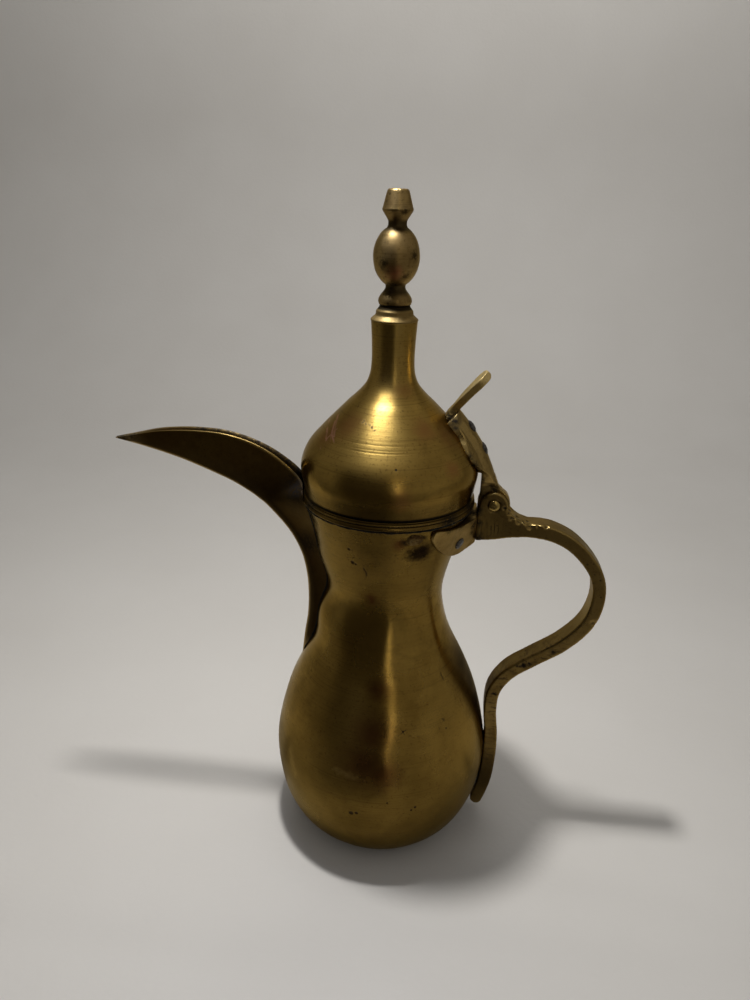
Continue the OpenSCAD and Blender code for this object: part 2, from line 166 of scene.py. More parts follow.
# The shelf runs flat under the pot and sweeps up behind it. What lies in front of its edge is the same pale
# floor, but the brass doesn't show it: it shows the dim room there.
sweep = [(shelf_back + shelf_rise * math.sin(a), shelf_rise - shelf_rise * math.cos(a))
         for a in np.linspace(0, math.pi / 2, 15)] + [(shelf_back + shelf_rise, wall_top)]
edge = [(x, shelf_front(x), 0.0) for x in (edge_left, shelf_half)]
rows = [edge] + [[(x, y, z) for x in (-shelf_half, shelf_half)] for y, z in sweep]
shelf = mesh_piece("shelf", sum(rows, []),
                   [(2 * i, 2 * i + 1, 2 * i + 3, 2 * i + 2) for i in range(len(rows) - 1)], shelf_paint)
front_floor = mesh_piece("floor_in_front",
                         [(-shelf_half, floor_front, 0.0), (shelf_half, floor_front, 0.0), edge[1], edge[0],
                          (-shelf_half, shelf_back, 0.0)], [(0, 1, 2, 3, 4)], shelf_paint)
front_floor.visible_glossy = False

world = bpy.data.worlds.new("pale_room")
bpy.context.scene.world = world
world.use_nodes = True
tree = world.node_tree
tree.nodes.clear()
direction = tree.nodes.new("ShaderNodeTexCoord").outputs["Generated"]
east, north, height = put(tree, "ShaderNodeSeparateXYZ", {0: direction}).outputs


def past(degrees):
    """How far a direction lies past an azimuth, which is counted from straight ahead towards the right."""
    azimuth = math.radians(degrees)
    return plus(times(east, math.cos(azimuth)), times(north, math.sin(azimuth)))


# The room is pale. In front stands something dim, from the left round to straight ahead, and a bright gap
# beside it. Azimuths are in degrees, and the heights are those of a direction, from -1 to 1
dim_from, dim_to, gap_middle = -70, 11, 15.5
side = fade(east, -0.6, 0.6)
room_tone = blend(side, rgb(0.20, 0.195, 0.185), rgb(0.31, 0.30, 0.285))
below = fade(height, -0.5, 0.0, 0.55, 0.0)
room_tone = blend(below, room_tone, rgb(0.04, 0.038, 0.035))
dim = times(fade(past(dim_from), -0.10, 0.35), fade(past(dim_to), 0.0, 0.05, 1.0, 0.0))
dim = times(dim, fade(height, 0.47, 0.60, 1.0, 0.0))
room_tone = blend(dim, room_tone, rgb(0.045, 0.040, 0.034))
gap = fade(math_node("ABSOLUTE", past(gap_middle)), 0.022, 0.05, 1.0, 0.0)
for limit in (fade(north, -0.3, -0.1, 1.0, 0.0), fade(height, 0.50, 0.64, 1.0, 0.0),
              fade(height, -0.25, 0.05)):
    gap = times(gap, limit)
room_tone = blend(gap, room_tone, rgb(2.3, 2.2, 2.0))
seen = put(tree, "ShaderNodeLightPath").outputs["Is Camera Ray"]
shown = blend(seen, room_tone, rgb(0.42, 0.415, 0.40))
tree.links.new(put(tree, "ShaderNodeBackground", {"Color": shown, "Strength": 1.0}).outputs[0],
               put(tree, "ShaderNodeOutputWorld").inputs[0])


def area_light(name, place, aim, size, watts, size_y=None, colour=(1.0, 0.97, 0.92)):
    data = bpy.data.lights.new(name, "AREA")
    data.energy = watts
    data.color = colour
    data.size = size
    data.shape = "RECTANGLE" if size_y else "DISK"
    if size_y:
        data.size_y = size_y
    lamp = add_object(name, data)
    lamp.location = place
    lamp.rotation_euler = (Vector(aim) - Vector(place)).to_track_quat("-Z", "Y").to_euler()
    lamp.visible_camera = False
    return lamp


# The overhead lamp is in two parts at nearly one place: a wide one that only reflections show, and a small
# one that only lights surfaces. A third lights the wall behind
glint = area_light("lamp_glint", (-0.055, -0.006, 0.49), (-0.055, -0.006, 0.0), 0.10, 1.38, size_y=0.05,
                   colour=(1.0, 1.10, 1.45))
glint.visible_diffuse = False
overhead = area_light("lamp_overhead", (-0.043, -0.006, 0.49), (-0.043, -0.006, 0.0), 0.034, 1.42)
overhead.visible_glossy = False
area_light("lamp_backdrop", (0.0, 0.38, 0.95), (0.0, 0.95, 0.48), 0.9, 3.1, size_y=0.2)

camera_data = bpy.data.cameras.new("camera")
camera_data.lens = 27.018
camera_data.sensor_width = 36.0
camera_data.clip_start = 0.01
camera = add_object("camera", camera_data)
camera.location = (0.027144, -0.310254, 0.298186)
camera.rotation_euler = [math.radians(a) for a in (67.7527, -1.3539, 6.6652)]
bpy.context.scene.camera = camera
bpy.context.scene.view_settings.view_transform = "Standard"

# Body ----------------------------------------------------------------------------------------------------
# One sheet of brass, raised and spun to a waisted pear and planished by hand, so that it keeps soft
# facets. It has been polished on the high places and has gone olive brown elsewhere.


def curve_through(points, steps):
    """Points of a Catmull-Rom curve through the given ones, with that many steps between each pair."""
    p = np.array(points, float)
    ends = np.vstack([p[0], p, p[-1]])
    t = np.arange(steps)[:, None] / steps
    out = []
    for i in range(len(p) - 1):
        a, b, c, d = ends[i], ends[i + 1], ends[i + 2], ends[i + 3]
        out.append(0.5 * (2 * b + (c - a) * t + (2 * a - 5 * b + 4 * c - d) * t ** 2
                          + (3 * b - a - 3 * c + d) * t ** 3))
    return np.vstack(out + [p[-1:]])


def offset_curve(points, distance):
    """The curve moved to its left."""
    d = np.gradient(points, axis=0)
    d /= np.linalg.norm(d, axis=1)[:, None]
    return points + distance * np.stack([-d[:, 1], d[:, 0]], 1)


def geometry_tree(name, *named):
    """A new tree with inputs, each given as (name, type, value), as (tree, identifiers by name, inputs)."""
    tree = bpy.data.node_groups.new(name, "GeometryNodeTree")
    tree.interface.new_socket("Geometry", in_out="OUTPUT", socket_type="NodeSocketGeometry")
    tree.interface.new_socket("Geometry", in_out="INPUT", socket_type="NodeSocketGeometry")
    identifiers = {}
    for label, kind, value in (*named, ("Material", "Material", None)):
        socket = tree.interface.new_socket(label, in_out="INPUT", socket_type="NodeSocket" + kind)
        if value is not None:
            socket.default_value = value
        identifiers[label] = socket.identifier
    return tree, identifiers, tree.nodes.new("NodeGroupInput").outputs


def close_tree(geometry, given):
    """Ends a tree in Realize Instances and Set Material."""
    tree = geometry.id_data
    real = put(tree, "GeometryNodeRealizeInstances", {"Geometry": geometry})
    painted = put(tree, "GeometryNodeSetMaterial",
                  {"Geometry": real.outputs[0], "Material": given["Material"]})
    tree.links.new(painted.outputs[0], tree.nodes.new("NodeGroupOutput").inputs[0])


def grow(name, seed_object, tree, identifiers, **values):
    """Runs a tree on an object and keeps the result as a plain mesh, in place of the object.

    A value that is a pair gives a mark's size and its depth in mm.
    """
    live = seed_object.modifiers.new("grow", "NODES")
    live.node_group = tree
    for key, value in values.items():
        if isinstance(value, tuple):
            live[identifiers[key + " size"]] = value[0]
            live[identifiers[key + " depth"]] = value[1] * MM
        else:
            live[identifiers[key.replace("_", " ")]] = value
    bpy.context.view_layer.update()
    graph = bpy.context.evaluated_depsgraph_get()
    data = bpy.data.meshes.new_from_object(seed_object.evaluated_get(graph))
    seed_object.modifiers.remove(live)
    bpy.data.objects.remove(seed_object)
    data.name = name
    data.shade_smooth()
    return add_object(name, data)


def vector_node(operation, a, b=None, scale=None, out=0):
    inputs = {0: a}
    if b is not None:
        inputs[1] = b
    if scale is not None:
        inputs["Scale"] = scale
    return put(tree_of(a, b, scale), "ShaderNodeVectorMath", inputs, operation=operation).outputs[out]


def planish(given, mark, detail):
    """Offset along the normal by a seeded noise, with the size and depth that the inputs give this mark."""
    tree = given["Seed"].id_data
    position = tree.nodes.new("GeometryNodeInputPosition").outputs[0]
    normal = tree.nodes.new("GeometryNodeInputNormal").outputs[0]
    field = put(tree, "ShaderNodeTexNoise",
                {"Vector": position, "W": given["Seed"], "Scale": given[mark + " size"], "Detail": detail},
                noise_dimensions="4D").outputs[0]
    push = times(minus(field, 0.5), times(given[mark + " depth"], 2.0))
    return vector_node("SCALE", normal, scale=push)


# Turned sheet: a closed outline, given as a row of vertices, is turned round the Z axis and planished
turned, turned_in, given = geometry_tree(
    "turned_sheet", ("Outline points", "Int", 10), ("Segments", "Int", 180), ("Planish size", "Float", 40.0),
    ("Planish depth", "Float", 0.0), ("Grain size", "Float", 400.0), ("Grain depth", "Float", 0.0),
    ("Seed", "Float", 1.0))
columns = plus(given["Segments"], 1.0)
grid = put(turned, "GeometryNodeMeshGrid", {"Vertices X": given["Outline points"], "Vertices Y": columns})
index = turned.nodes.new("GeometryNodeInputIndex").outputs[0]
outline_step = math_node("FLOOR", math_node("DIVIDE", plus(index, 0.5), columns))
turn_step = minus(index, times(outline_step, columns))
angle = math_node("DIVIDE", times(turn_step, 2 * math.pi), given["Segments"])
sample = put(turned, "GeometryNodeSampleIndex", {"Geometry": given["Geometry"]},
             data_type="FLOAT_VECTOR", domain="POINT")
turned.links.new(turned.nodes.new("GeometryNodeInputPosition").outputs[0], sample.inputs["Value"])
turned.links.new(outline_step, sample.inputs["Index"])
outline_point = put(turned, "ShaderNodeSeparateXYZ", {0: sample.outputs[0]})
around = put(turned, "ShaderNodeCombineXYZ", {
    0: times(outline_point.outputs[0], math_node("COSINE", angle)),
    1: times(outline_point.outputs[0], math_node("SINE", angle)),
    2: outline_point.outputs[2]})
laid = put(turned, "GeometryNodeSetPosition", {"Geometry": grid.outputs[0], "Position": around.outputs[0]})
joined = put(turned, "GeometryNodeMergeByDistance", {"Geometry": laid.outputs[0], "Distance": 1e-6})
outward = put(turned, "GeometryNodeFlipFaces", {"Mesh": joined.outputs[0]})
facets = vector_node("ADD", planish(given, "Planish", 1.0), planish(given, "Grain", 2.0))
hammered = put(turned, "GeometryNodeSetPosition", {"Geometry": outward.outputs[0], "Offset": facets})
close_tree(hammered.outputs[0], given)


def wire(points):
    """A row of points in mm joined by edges, for a Geometry Nodes tree to work on."""
    data = bpy.data.meshes.new("wire")
    data.from_pydata([tuple(c * MM for c in at) for at in points],
                     [(i, i + 1) for i in range(len(points) - 1)], [])
    return add_object("wire", data)


def turn(name, outline, material, segments, **values):
    """A turned piece from a closed outline in mm, as [radius, height], that runs upwards on its outside."""
    closed = [(r, 0.0, z) for r, z in np.vstack([outline, outline[:1]])]
    return grow(name, wire(closed), turned, turned_in, Outline_points=len(closed), Segments=segments,
                Material=material, **values)


def places_of(piece):
    """The places of a piece's vertices, in m."""
    at = np.zeros(len(piece.data.vertices) * 3)
    piece.data.vertices.foreach_get("co", at)
    return at.reshape(-1, 3)


def move_to(piece, at):
    piece.data.vertices.foreach_set("co", at.ravel())
    piece.data.update()


def press(piece, dents):
    """Presses dents into a piece. Each is (place in mm, radius in mm, depth in mm)."""
    at = places_of(piece)
    out = np.zeros(at.size, np.float32)
    piece.data.vertex_normals.foreach_get("vector", out)
    out = out.reshape(-1, 3)
    moved = at.copy()
    for place, radius, depth in dents:
        far = np.linalg.norm(at - np.array(place) * MM, axis=1) / (radius * MM)
        moved -= out * (np.clip(1 - far ** 2, 0, 1) ** 2 * depth * MM)[:, None]
    move_to(piece, moved)


# The neck isn't quite round: it bulges towards this azimuth, over so many degrees to each side. Each bulge is
# (height in mm, spread in mm, depth in mm), and nothing nearer the axis than neck_least, in m, is moved
bulge_azimuth, bulge_reach, neck_least = 190, 66, 0.005
neck_bulges = ((117, 11, 3.3), (145, 10, 1.3))


def swell(piece):
    """Pushes a piece out where the neck bulges."""
    at = places_of(piece)
    off = (np.degrees(np.arctan2(at[:, 1], at[:, 0])) - bulge_azimuth + 180) % 360 - 180
    lobe = np.clip(1 - (off / bulge_reach) ** 2, 0, 1) ** 2
    z = at[:, 2] / MM
    push = lobe * sum(depth * np.exp(-((z - at_z) / spread) ** 2) for at_z, spread, depth in neck_bulges) * MM
    radius = np.maximum(np.hypot(at[:, 0], at[:, 1]), 1e-6)
    at[:, :2] *= (1 + np.where(radius > neck_least, push / radius, 0))[:, None]
    move_to(piece, at)


def shaken(where, wobble):
    """Coordinates moved about by a fine noise, so that the edge of a mark is ragged."""
    shift = put(where.id_data, "ShaderNodeTexNoise", {"Vector": where, "Scale": 350.0, "Detail": 3.0})
    shift = shift.outputs["Color"]
    shift = vector_node("SUBTRACT", shift, (0.5, 0.5, 0.5))
    return vector_node("ADD", where, vector_node("SCALE", shift, scale=wobble))


def most(values):
    """The highest of some values."""
    total = values[0]
    for value in values[1:]:
        total = math_node("MAXIMUM", total, value)
    return total


def score_lines(where, lines, wobble=0.0006):
    """1 along any of the lines, each (end, other end, half width) in mm, fading to 0 beside it."""
    where = shaken(where, wobble)
    found = []
    for a, b, width in lines:
        start, run = Vector(a) * MM, (Vector(b) - Vector(a)) * MM
        past_start = vector_node("SUBTRACT", where, start)
        share = vector_node("DOT_PRODUCT", past_start, run / run.length_squared, out="Value")
        share = math_node("ADD", share, 0.0, clamp=True)
        far = vector_node("DISTANCE", past_start, vector_node("SCALE", run, scale=share), out="Value")
        found.append(fade(far, 0.0, width * MM, 1.0, 0.0))
    return most(found)


def spots(where, places, wobble):
    """1 inside any of the places, each (place in mm, radius in mm), fading to 0 at its radius."""
    where = shaken(where, wobble)
    found = []
    for place, radius in places:
        far = vector_node("DISTANCE", where, tuple(c * MM for c in place), out="Value")
        found.append(fade(far, 0.0, radius * MM, 1.0, 0.0))
    return most(found)


def belt(up, low, high, soft, amount):
    """An amount between two heights in mm, fading out over a soft edge."""
    rise = fade(up, (low - soft) * MM, (low + soft) * MM, 0.0, amount)
    return times(rise, fade(up, (high - soft) * MM, (high + soft) * MM, 1.0, 0.0))


def streaks(where, stretch, detail, rough):
    """A noise drawn out along an axis, by the scale that it has along each."""
    drawn = put(where.id_data, "ShaderNodeMapping", {"Vector": where, "Scale": stretch}).outputs[0]
    return noise(drawn, 1.0, detail, rough)


def aged_brass(name, bright, dull, deep, patch, rough, cover=0.5, brushed=0.0, grain=0.25, arris_wear_and_highlight=0.0,
               pits=0.0, pitted=(), pit_size=330.0, pocks=(), anisotropy=0.0, dark_belts=(), red=(), crust_and_shade=(),
               dark_reflection_and_stain=(), scored=(), polish_and_highlight_lines=(), filed=(), sleek=None, keel=None,
               dark_belt_colour=rgb(0.05, 0.031, 0.007), red_colour=rgb(0.36, 0.13, 0.055),
               crust_and_shade_colour=rgb(0.022, 0.018, 0.014), scored_colour=rgb(0.03, 0.02, 0.012)):
    """Old brass: bright where it is handled and on edges, partly as painted highlight, dull in patches, and
    deep brown in stains and in hollows, partly as painted shade.

    Marks are given by their places in mm: crusts, red patches, dark patches, pitted and pocks as (place,
    radius), scored and polished lines as (end, other end, half width), filed as (stretch, places), and darker
    belts and sleek as (low, high, soft edge, amount). Some crusts and darker belts are painted shade, the
    dark patches are painted dark reflections and stains, some polished lines are painted highlights, and the
    keel colour paints a highlight along the middle.
    """
    dark_reflection_and_stain_colour, polish_and_highlight_colour = rgb(0.024, 0.011, 0.007), rgb(0.40, 0.27, 0.08)
    arris_wear_and_highlight_colour = rgb(0.40, 0.275, 0.085)
    material, skin, where = shader(name, Metallic=1.0, Anisotropic=anisotropy,
                                         Anisotropic_Rotation=0.25, Specular_Tint=rgb(0.84, 0.77, 0.60))
    tree = skin.id_data
    # patches of worn and dull metal, with stains
    broad = noise(where, patch, 3.0, 0.55, 0.6)
    middle = noise(where, patch * 6.0, 5.0, 0.6)
    fine = noise(where, 900.0, 3.0, 0.6)
    worn = plus(times(broad, 0.66), times(middle, 0.34))
    worn = fade(worn, cover - 0.13, cover + 0.13)
    colour = blend(worn, dull, bright)
    stain = fade(noise(where, patch * 2.3, 6.0, 0.7, 1.2), 0.56, 0.78)
    colour = blend(times(stain, 0.55), colour, deep)
    colour = blend(fade(fine, 0.55, 0.72, 0.0, 0.5), colour, deep)
    height = times(fine, grain)
    gloss = plus(times(worn, rough[0] - rough[1]), times(middle, 0.12))
    gloss = plus(gloss, rough[1] - 0.06)
    # the lathe's or the brush's fine lines round the piece, and pits
    if brushed:
        lines = streaks(where, (26.0, 26.0, 2600.0), 4.0, 0.65)
        height = plus(height, times(lines, brushed))
        colour = blend(fade(lines, 0.5, 0.72, 0.0, 0.42), colour, deep)
    if pits:
        cells = put(tree, "ShaderNodeTexVoronoi", {"Vector": where, "Scale": pit_size, "Randomness": 1.0})
        hole = fade(cells.outputs["Distance"], 0.10, 0.24, 1.0, 0.0)
        if pitted:
            some = spots(where, pitted, 0.004)
        else:
            some = fade(noise(where, 60.0, 2.0), 0.52, 0.62)
        hole = times(times(hole, some), pits)
        colour = blend(hole, colour, crust_and_shade_colour)
        height = minus(height, times(hole, 1.6))
    # edges rubbed bright, partly as painted highlight, and hollows darkened with dirt and painted shade
    if arris_wear_and_highlight:
        point = tree.nodes.new("ShaderNodeNewGeometry").outputs["Pointiness"]
        edge = times(fade(point, 0.505, 0.56), arris_wear_and_highlight)
        colour = blend(edge, colour, arris_wear_and_highlight_colour)
        gloss = minus(gloss, times(edge, 0.14))
        colour = blend(fade(point, 0.47, 0.497, 0.85, 0.0), colour, crust_and_shade_colour)
    # zones and places of other colours: darker belts, partly painted shade, red patches, and dark patches
    # that are painted dark reflections and stains
    up = put(tree, "ShaderNodeSeparateXYZ", {0: where}).outputs[2]
    for low, high, soft, amount in dark_belts:
        zone = belt(up, low, high, soft, amount)
        colour = blend(zone, colour, dark_belt_colour)
        gloss = plus(gloss, times(zone, 0.12))
    if red:
        warm = times(spots(where, red, 0.004), fade(middle, 0.2, 0.5))
        colour = blend(times(warm, 0.9), colour, red_colour)
    # dark maroon at places: painted dark reflections, and stains
    if dark_reflection_and_stain:
        dark_reflection_and_stain_part = spots(where, dark_reflection_and_stain, 0.005)
        colour = blend(times(dark_reflection_and_stain_part, 0.95), colour, dark_reflection_and_stain_colour)
        gloss = plus(gloss, times(dark_reflection_and_stain_part, 0.35))
    # what tools and hands have left, with painted highlights among the polished lines and along the keel, and
    # painted shade in some crusts
    # polished lines, some of them painted highlights
    if polish_and_highlight_lines:
        polish_and_highlight = times(score_lines(where, polish_and_highlight_lines, 0.006), 0.3)
        colour = blend(polish_and_highlight, colour, polish_and_highlight_colour)
    for stretch, places in filed:
        streak = fade(streaks(where, stretch, 3.0, 0.6), 0.48, 0.66)
        streak = times(streak, spots(where, places, 0.003))
        colour = blend(times(streak, 0.75), colour, scored_colour)
        height = minus(height, streak)
    # the keel's light strip is a painted highlight, the floor's reflection
    if keel:
        off = math_node("ABSOLUTE", put(tree, "ShaderNodeSeparateXYZ", {0: where}).outputs[1])
        colour = blend(fade(off, 0.9 * MM, 2.6 * MM, 0.9, 0.0), colour, keel)
    if sleek:
        gloss = minus(gloss, belt(up, *sleek))
    if scored:
        line = score_lines(where, scored)
        colour = blend(times(line, 0.85), colour, scored_colour)
        height = minus(height, line)
    if pocks:
        hole = spots(where, pocks, 0.0007)
        colour = blend(fade(hole, 0.1, 0.6), colour, crust_and_shade_colour)
        height = minus(height, times(hole, 2.5))
    # crusts of dirt, and at some places painted shade
    if crust_and_shade:
        dirt_and_shade = times(spots(where, crust_and_shade, 0.003), fade(fine, 0.30, 0.52))
        colour = blend(dirt_and_shade, colour, crust_and_shade_colour)
        gloss = plus(gloss, times(dirt_and_shade, 0.4))
    dress(skin, colour, gloss, (height, 0.35, 0.00012))
    if anisotropy:
        tangent = put(tree, "ShaderNodeTangent", direction_type="RADIAL", axis="Z")
        tree.links.new(tangent.outputs[0], skin.inputs["Tangent"])
    return material


golden, olive, brown = rgb(0.31, 0.192, 0.042), rgb(0.19, 0.112, 0.022), rgb(0.07, 0.033, 0.008)

# On the body the dark patch beside the handle is a painted dark reflection of the handle, the dark belt at
# the foot is painted shade where the belly turns under, and the belly is darker towards the bottom. The dark
# patch at the neck repair is a stain.
body_brass = aged_brass(
    "body_brass", golden, olive, brown, patch=14.0, cover=0.47, rough=(0.20, 0.34), brushed=0.6,
    anisotropy=0.85, grain=0.12, pits=0.9, pit_size=560.0,
    pitted=[((-17, -29, 164), 19), ((-24, -22, 156), 12), ((-6, -32, 156), 14), ((14, -30, 160), 14)],
    dark_belts=[(-9, 60, 16, 0.5), (131, 190, 12, 0.42), (-9, 5, 4, 0.7)],
    red_colour=rgb(0.092, 0.036, 0.010),
    red=[((0, -44.5, 77), 15), ((3.5, -49.3, 60), 11), ((-2.3, -48.6, 63.6), 18), ((5, -50, 60), 14),
         ((1.3, -36.4, 95.1), 8), ((-27.9, -7, 116.7), 5), ((8.3, -34.1, 165.5), 5), ((45.8, -6.4, 72.2), 8),
         ((-3.4, -26.6, 134.6), 5)],
    crust_and_shade_colour=rgb(0.028, 0.017, 0.008),
    crust_and_shade=[((14, -30.2, 160.5), 6), ((17.5, -28.9, 161.5), 4), ((18.1, -27.5, 158.1), 3),
           ((10.6, -33.5, 166.5), 3.5), ((16.5, -31.2, 168), 4), ((-30.2, -16.5, 167), 7),
           ((-36, -10, 170), 8), ((34, -10, 169), 6)],
    dark_reflection_and_stain=[((40, -3, 92), 27), ((44, -2, 83), 24), ((48, -2, 72), 18), ((17.2, -29, 160.5), 8)],
    scored=[((-6.9, -30.4, 151.9), (-5.7, -29.9, 149.3), 0.8),
            ((-5.7, -29.9, 149.3), (-5.9, -28.8, 147.2), 0.8),
            ((-5.9, -28.8, 147.2), (-6.6, -28.3, 145.4), 0.6),
            ((12.3, -41.8, 79.5), (14.4, -42.2, 76.8), 0.4), ((14.7, -41.3, 78.8), (12.7, -42.5, 77.4), 0.45),
            ((28.3, -21.7, 96.7), (29.8, -22.3, 93.4), 0.55), ((30.4, -31.6, 79.4), (31, -31, 78), 0.8)],
    polish_and_highlight_lines=[((-40.1, -32.1, 52), (-36.8, -36.4, 44), 4), ((-15.5, -47.5, 58.1), (-6.1, -49.9, 56.9), 2.5)],
    pocks=[((-11.7, -29.5, 153.8), 1.5), ((-10.3, -29.8, 153.2), 0.9), ((-13.1, -31, 160.5), 1.1),
           ((13.5, -42, 78.2), 0.8), ((-7.9, -51.1, 37.6), 1.8), ((-5.4, -51.4, 38.2), 1.4),
           ((8.3, -51.2, 45.7), 0.8), ((19.1, -48.3, 40.3), 0.8), ((20.8, -47.6, 41.6), 1.0),
           ((32.4, -31.9, 74.5), 0.7)])
base_r, mouth_r, body_h, body_wall = 34.8, 37.0, 172.4, 1.3
# The recess under the body that the base is let into, and how far above it the inside starts
recess_r, recess_h, floor_t = 33.4, 1.5, 0.4
body_profile = curve_through([
    [base_r, 0], [38.9, 4.2], [44.9, 12], [49.6, 24], [51.9, 40], [50.8, 54], [46.3, 72], [39.9, 88],
    [32.1, 104], [27.8, 117], [26.3, 129], [28.2, 141], [33.5, 160], [mouth_r, body_h]], 12)
body_inside = offset_curve(body_profile, body_wall)
body_inside = body_inside[(body_inside[:, 1] > recess_h + floor_t) & (body_inside[:, 1] < body_h)][::-2]
body_outline = np.vstack([body_profile, body_inside, [[recess_r, recess_h], [recess_r, 0]]])
body = turn("body", body_outline, body_brass, 240, Planish=(38.0, 0.36), Grain=(170.0, 0.045), Seed=3.0)
swell(body)
press(body, [
    ((-2, -27.5, 121), 9, 0.14), ((9, -32, 103), 10, 0.16), ((1, -42, 84), 11, 0.16),
    ((13, -45, 68), 10, 0.14), ((-20, -36, 88), 14, 0.2), ((28, -33, 84), 12, 0.2),
    ((-24, -40, 58), 15, 0.25), ((20, -20, 128), 10, 0.15)])
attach(body, "pot")
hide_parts("body_shell")

# Base ----------------------------------------------------------------------------------------------------
# A flat disc of the same sheet, let in under the body and soldered round its edge. It has only ever been
# wiped, so it stays dull and brown.


def repaint(node, material):
    """Gives a CAD node, which is shown as it is, a material."""
    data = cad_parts[node].data
    data.materials.clear()
    data.materials.append(material)


base_brass = aged_brass("base_brass", olive, brown, brown, patch=30.0, rough=(0.4, 0.55))
repaint("base_plate", base_brass)

# Band ----------------------------------------------------------------------------------------------------
# A ring of thicker sheet round the mouth, turned with a step and a thin bead. It is soldered to the body, and
# old dirt and flux have gathered black under its lower edge. The black ring there is made thick, as painted
# shadow under the band too.


def rounded(corners, radius):
    """A closed outline with its corners rounded."""
    steps = 3
    p = np.array(corners, float)
    out = []
    for i, at in enumerate(p):
        before, after = p[i - 1] - at, p[(i + 1) % len(p)] - at
        reach = min(radius, 0.45 * np.linalg.norm(before), 0.45 * np.linalg.norm(after))
        start = at + before / np.linalg.norm(before) * reach
        end = at + after / np.linalg.norm(after) * reach
        for k in range(steps + 1):
            t = k / steps
            out.append((1 - t) ** 2 * start + 2 * t * (1 - t) * at + t * t * end)
    return np.array(out)


band_brass = aged_brass(
    "band_brass", rgb(0.15, 0.09, 0.02), rgb(0.08, 0.046, 0.01), brown, patch=30.0, rough=(0.22, 0.4),
    arris_wear_and_highlight=0.6, brushed=0.4,
    crust_and_shade=[((28, -25.8, 173), 9), ((36.1, -11.3, 174.4), 9), ((-31.5, -21.2, 174), 8)])
band_outline = rounded([[35.4, 172.4], [37.7, 172.4], [38.2, 172.75], [38.25, 173.4], [37.95, 174.0],
                        [37.45, 174.3], [37.5, 174.55], [37.95, 174.75], [38.0, 175.1], [37.6, 175.45],
                        [37.1, 175.6], [36.9, 175.9], [35.4, 175.9]], 0.18)
band = turn("mouth_band", band_outline, band_brass, 300, Planish=(60.0, 0.07))
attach(band, "pot")
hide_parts("rim_band")

dirt_and_shade, skin, where = shader("black_flux", Roughness=0.85, Specular_IOR_Level=0.2)
speck = fade(noise(where, 1500.0, 2.0), 0.70, 0.80)
green = fade(noise(where, 500.0, 3.0), 0.5, 0.62)
ground = blend(green, rgb(0.005, 0.004, 0.003), rgb(0.013, 0.013, 0.008))
dress(skin, blend(speck, ground, rgb(0.30, 0.29, 0.25)))
# black ring of flux and dirt under the band, thickened as painted shadow
flux_and_shadow_r, flux_and_shadow_z, flux_and_shadow_t = 37.35, 172.1, 0.6
circle = [[flux_and_shadow_r + flux_and_shadow_t * math.cos(a), flux_and_shadow_z + flux_and_shadow_t * math.sin(a)]
          for a in np.linspace(-math.pi, math.pi, 13)[:-1]]
flux_and_shadow = turn("band_flux_and_shadow", np.array(circle), dirt_and_shade, 420, Grain=(330.0, 0.55), Seed=5.0)
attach(flux_and_shadow, "pot")

# Spout ---------------------------------------------------------------------------------------------------
# A beak of folded sheet, open along its top, with a rounded keel. Its edges are soldered to the neck, and
# dirt has filled the seam. Inside it has never been polished, and coffee has left it nearly black.


def loft(name, rings, material):
    """Skin over a row of closed rings of equal length, closed at both ends."""
    n = len(rings[0])
    points = np.vstack(rings) * MM
    faces = [(i * n + k, i * n + (k + 1) % n, (i + 1) * n + (k + 1) % n, (i + 1) * n + k)
             for i in range(len(rings) - 1) for k in range(n)]
    last = (len(rings) - 1) * n
    faces += [(k, n - 1 - k, n - 2 - k, k + 1) for k in range(n // 2 - 1)]
    faces += [(last + k, last + k + 1, last + n - 2 - k, last + n - 1 - k) for k in range(n // 2 - 1)]
    made = mesh_piece(name, points, faces, material)
    form = bmesh.new()
    form.from_mesh(made.data)
    bmesh.ops.remove_doubles(form, verts=form.verts, dist=1e-7)
    bmesh.ops.recalc_face_normals(form, faces=form.faces)
    form.to_mesh(made.data)
    form.free()
    return made


def settle(piece):
    """Applies a piece's modifiers and keeps the result as its plain mesh."""
    bpy.context.view_layer.update()
    data = bpy.data.meshes.new_from_object(piece.evaluated_get(bpy.context.evaluated_depsgraph_get()))
    piece.modifiers.clear()
    piece.data = data
    data.name = piece.name
    data.shade_smooth()


def carve(piece, tool):
    """Cuts a tool's shape out of a piece and takes the tool away."""
    hollow = piece.modifiers.new("cut", "BOOLEAN")
    hollow.object = tool
    hollow.operation = "DIFFERENCE"
    hollow.solver = "MANIFOLD"
    settle(piece)
    bpy.data.objects.remove(tool)


# Sections of the spout from its foot to its tip, each as the x and z of its keel, the x of its lips, its half
# width there and their z
spout_rows = curve_through([[-40.2, 87.0, -38.0, 0.9, 88.4], [-38.8, 99.2, -32.0, 3.3, 100.5],
                            [-37.2, 110.0, -27.5, 4.6, 112.5], [-36.8, 121.0, -25.0, 5.4, 124.0],
                            [-37.5, 131.5, -24.5, 6.8, 136.0], [-40.0, 142.5, -26.0, 9.6, 148.0],
                            [-45.6, 153.4, -28.5, 12.6, 161.0], [-54.5, 163.9, -33.4, 13.8, 174.6],
                            [-59.6, 168.3, -38.3, 5.4, 179.2], [-64.0, 171.4, -44.0, 4.0, 184.9],
                            [-71.3, 175.6, -53.0, 3.2, 191.4], [-79.1, 179.0, -63.5, 2.9, 196.1],
                            [-86.6, 182.0, -74.5, 3.0, 198.7], [-94.1, 184.8, -85.0, 3.2, 199.3],
                            [-101.9, 187.2, -95.0, 3.2, 199.0], [-109.2, 189.2, -105.0, 2.9, 197.9],
                            [-117.1, 191.1, -114.6, 2.2, 195.7], [-125.0, 192.7, -124.6, 1.0, 193.4]], 8)
# Its wall and the radius of its keel, and how far its lips are rounded, as a share of the wall
spout_wall, keel_r, lip_round = 1.0, 2.3, 0.3


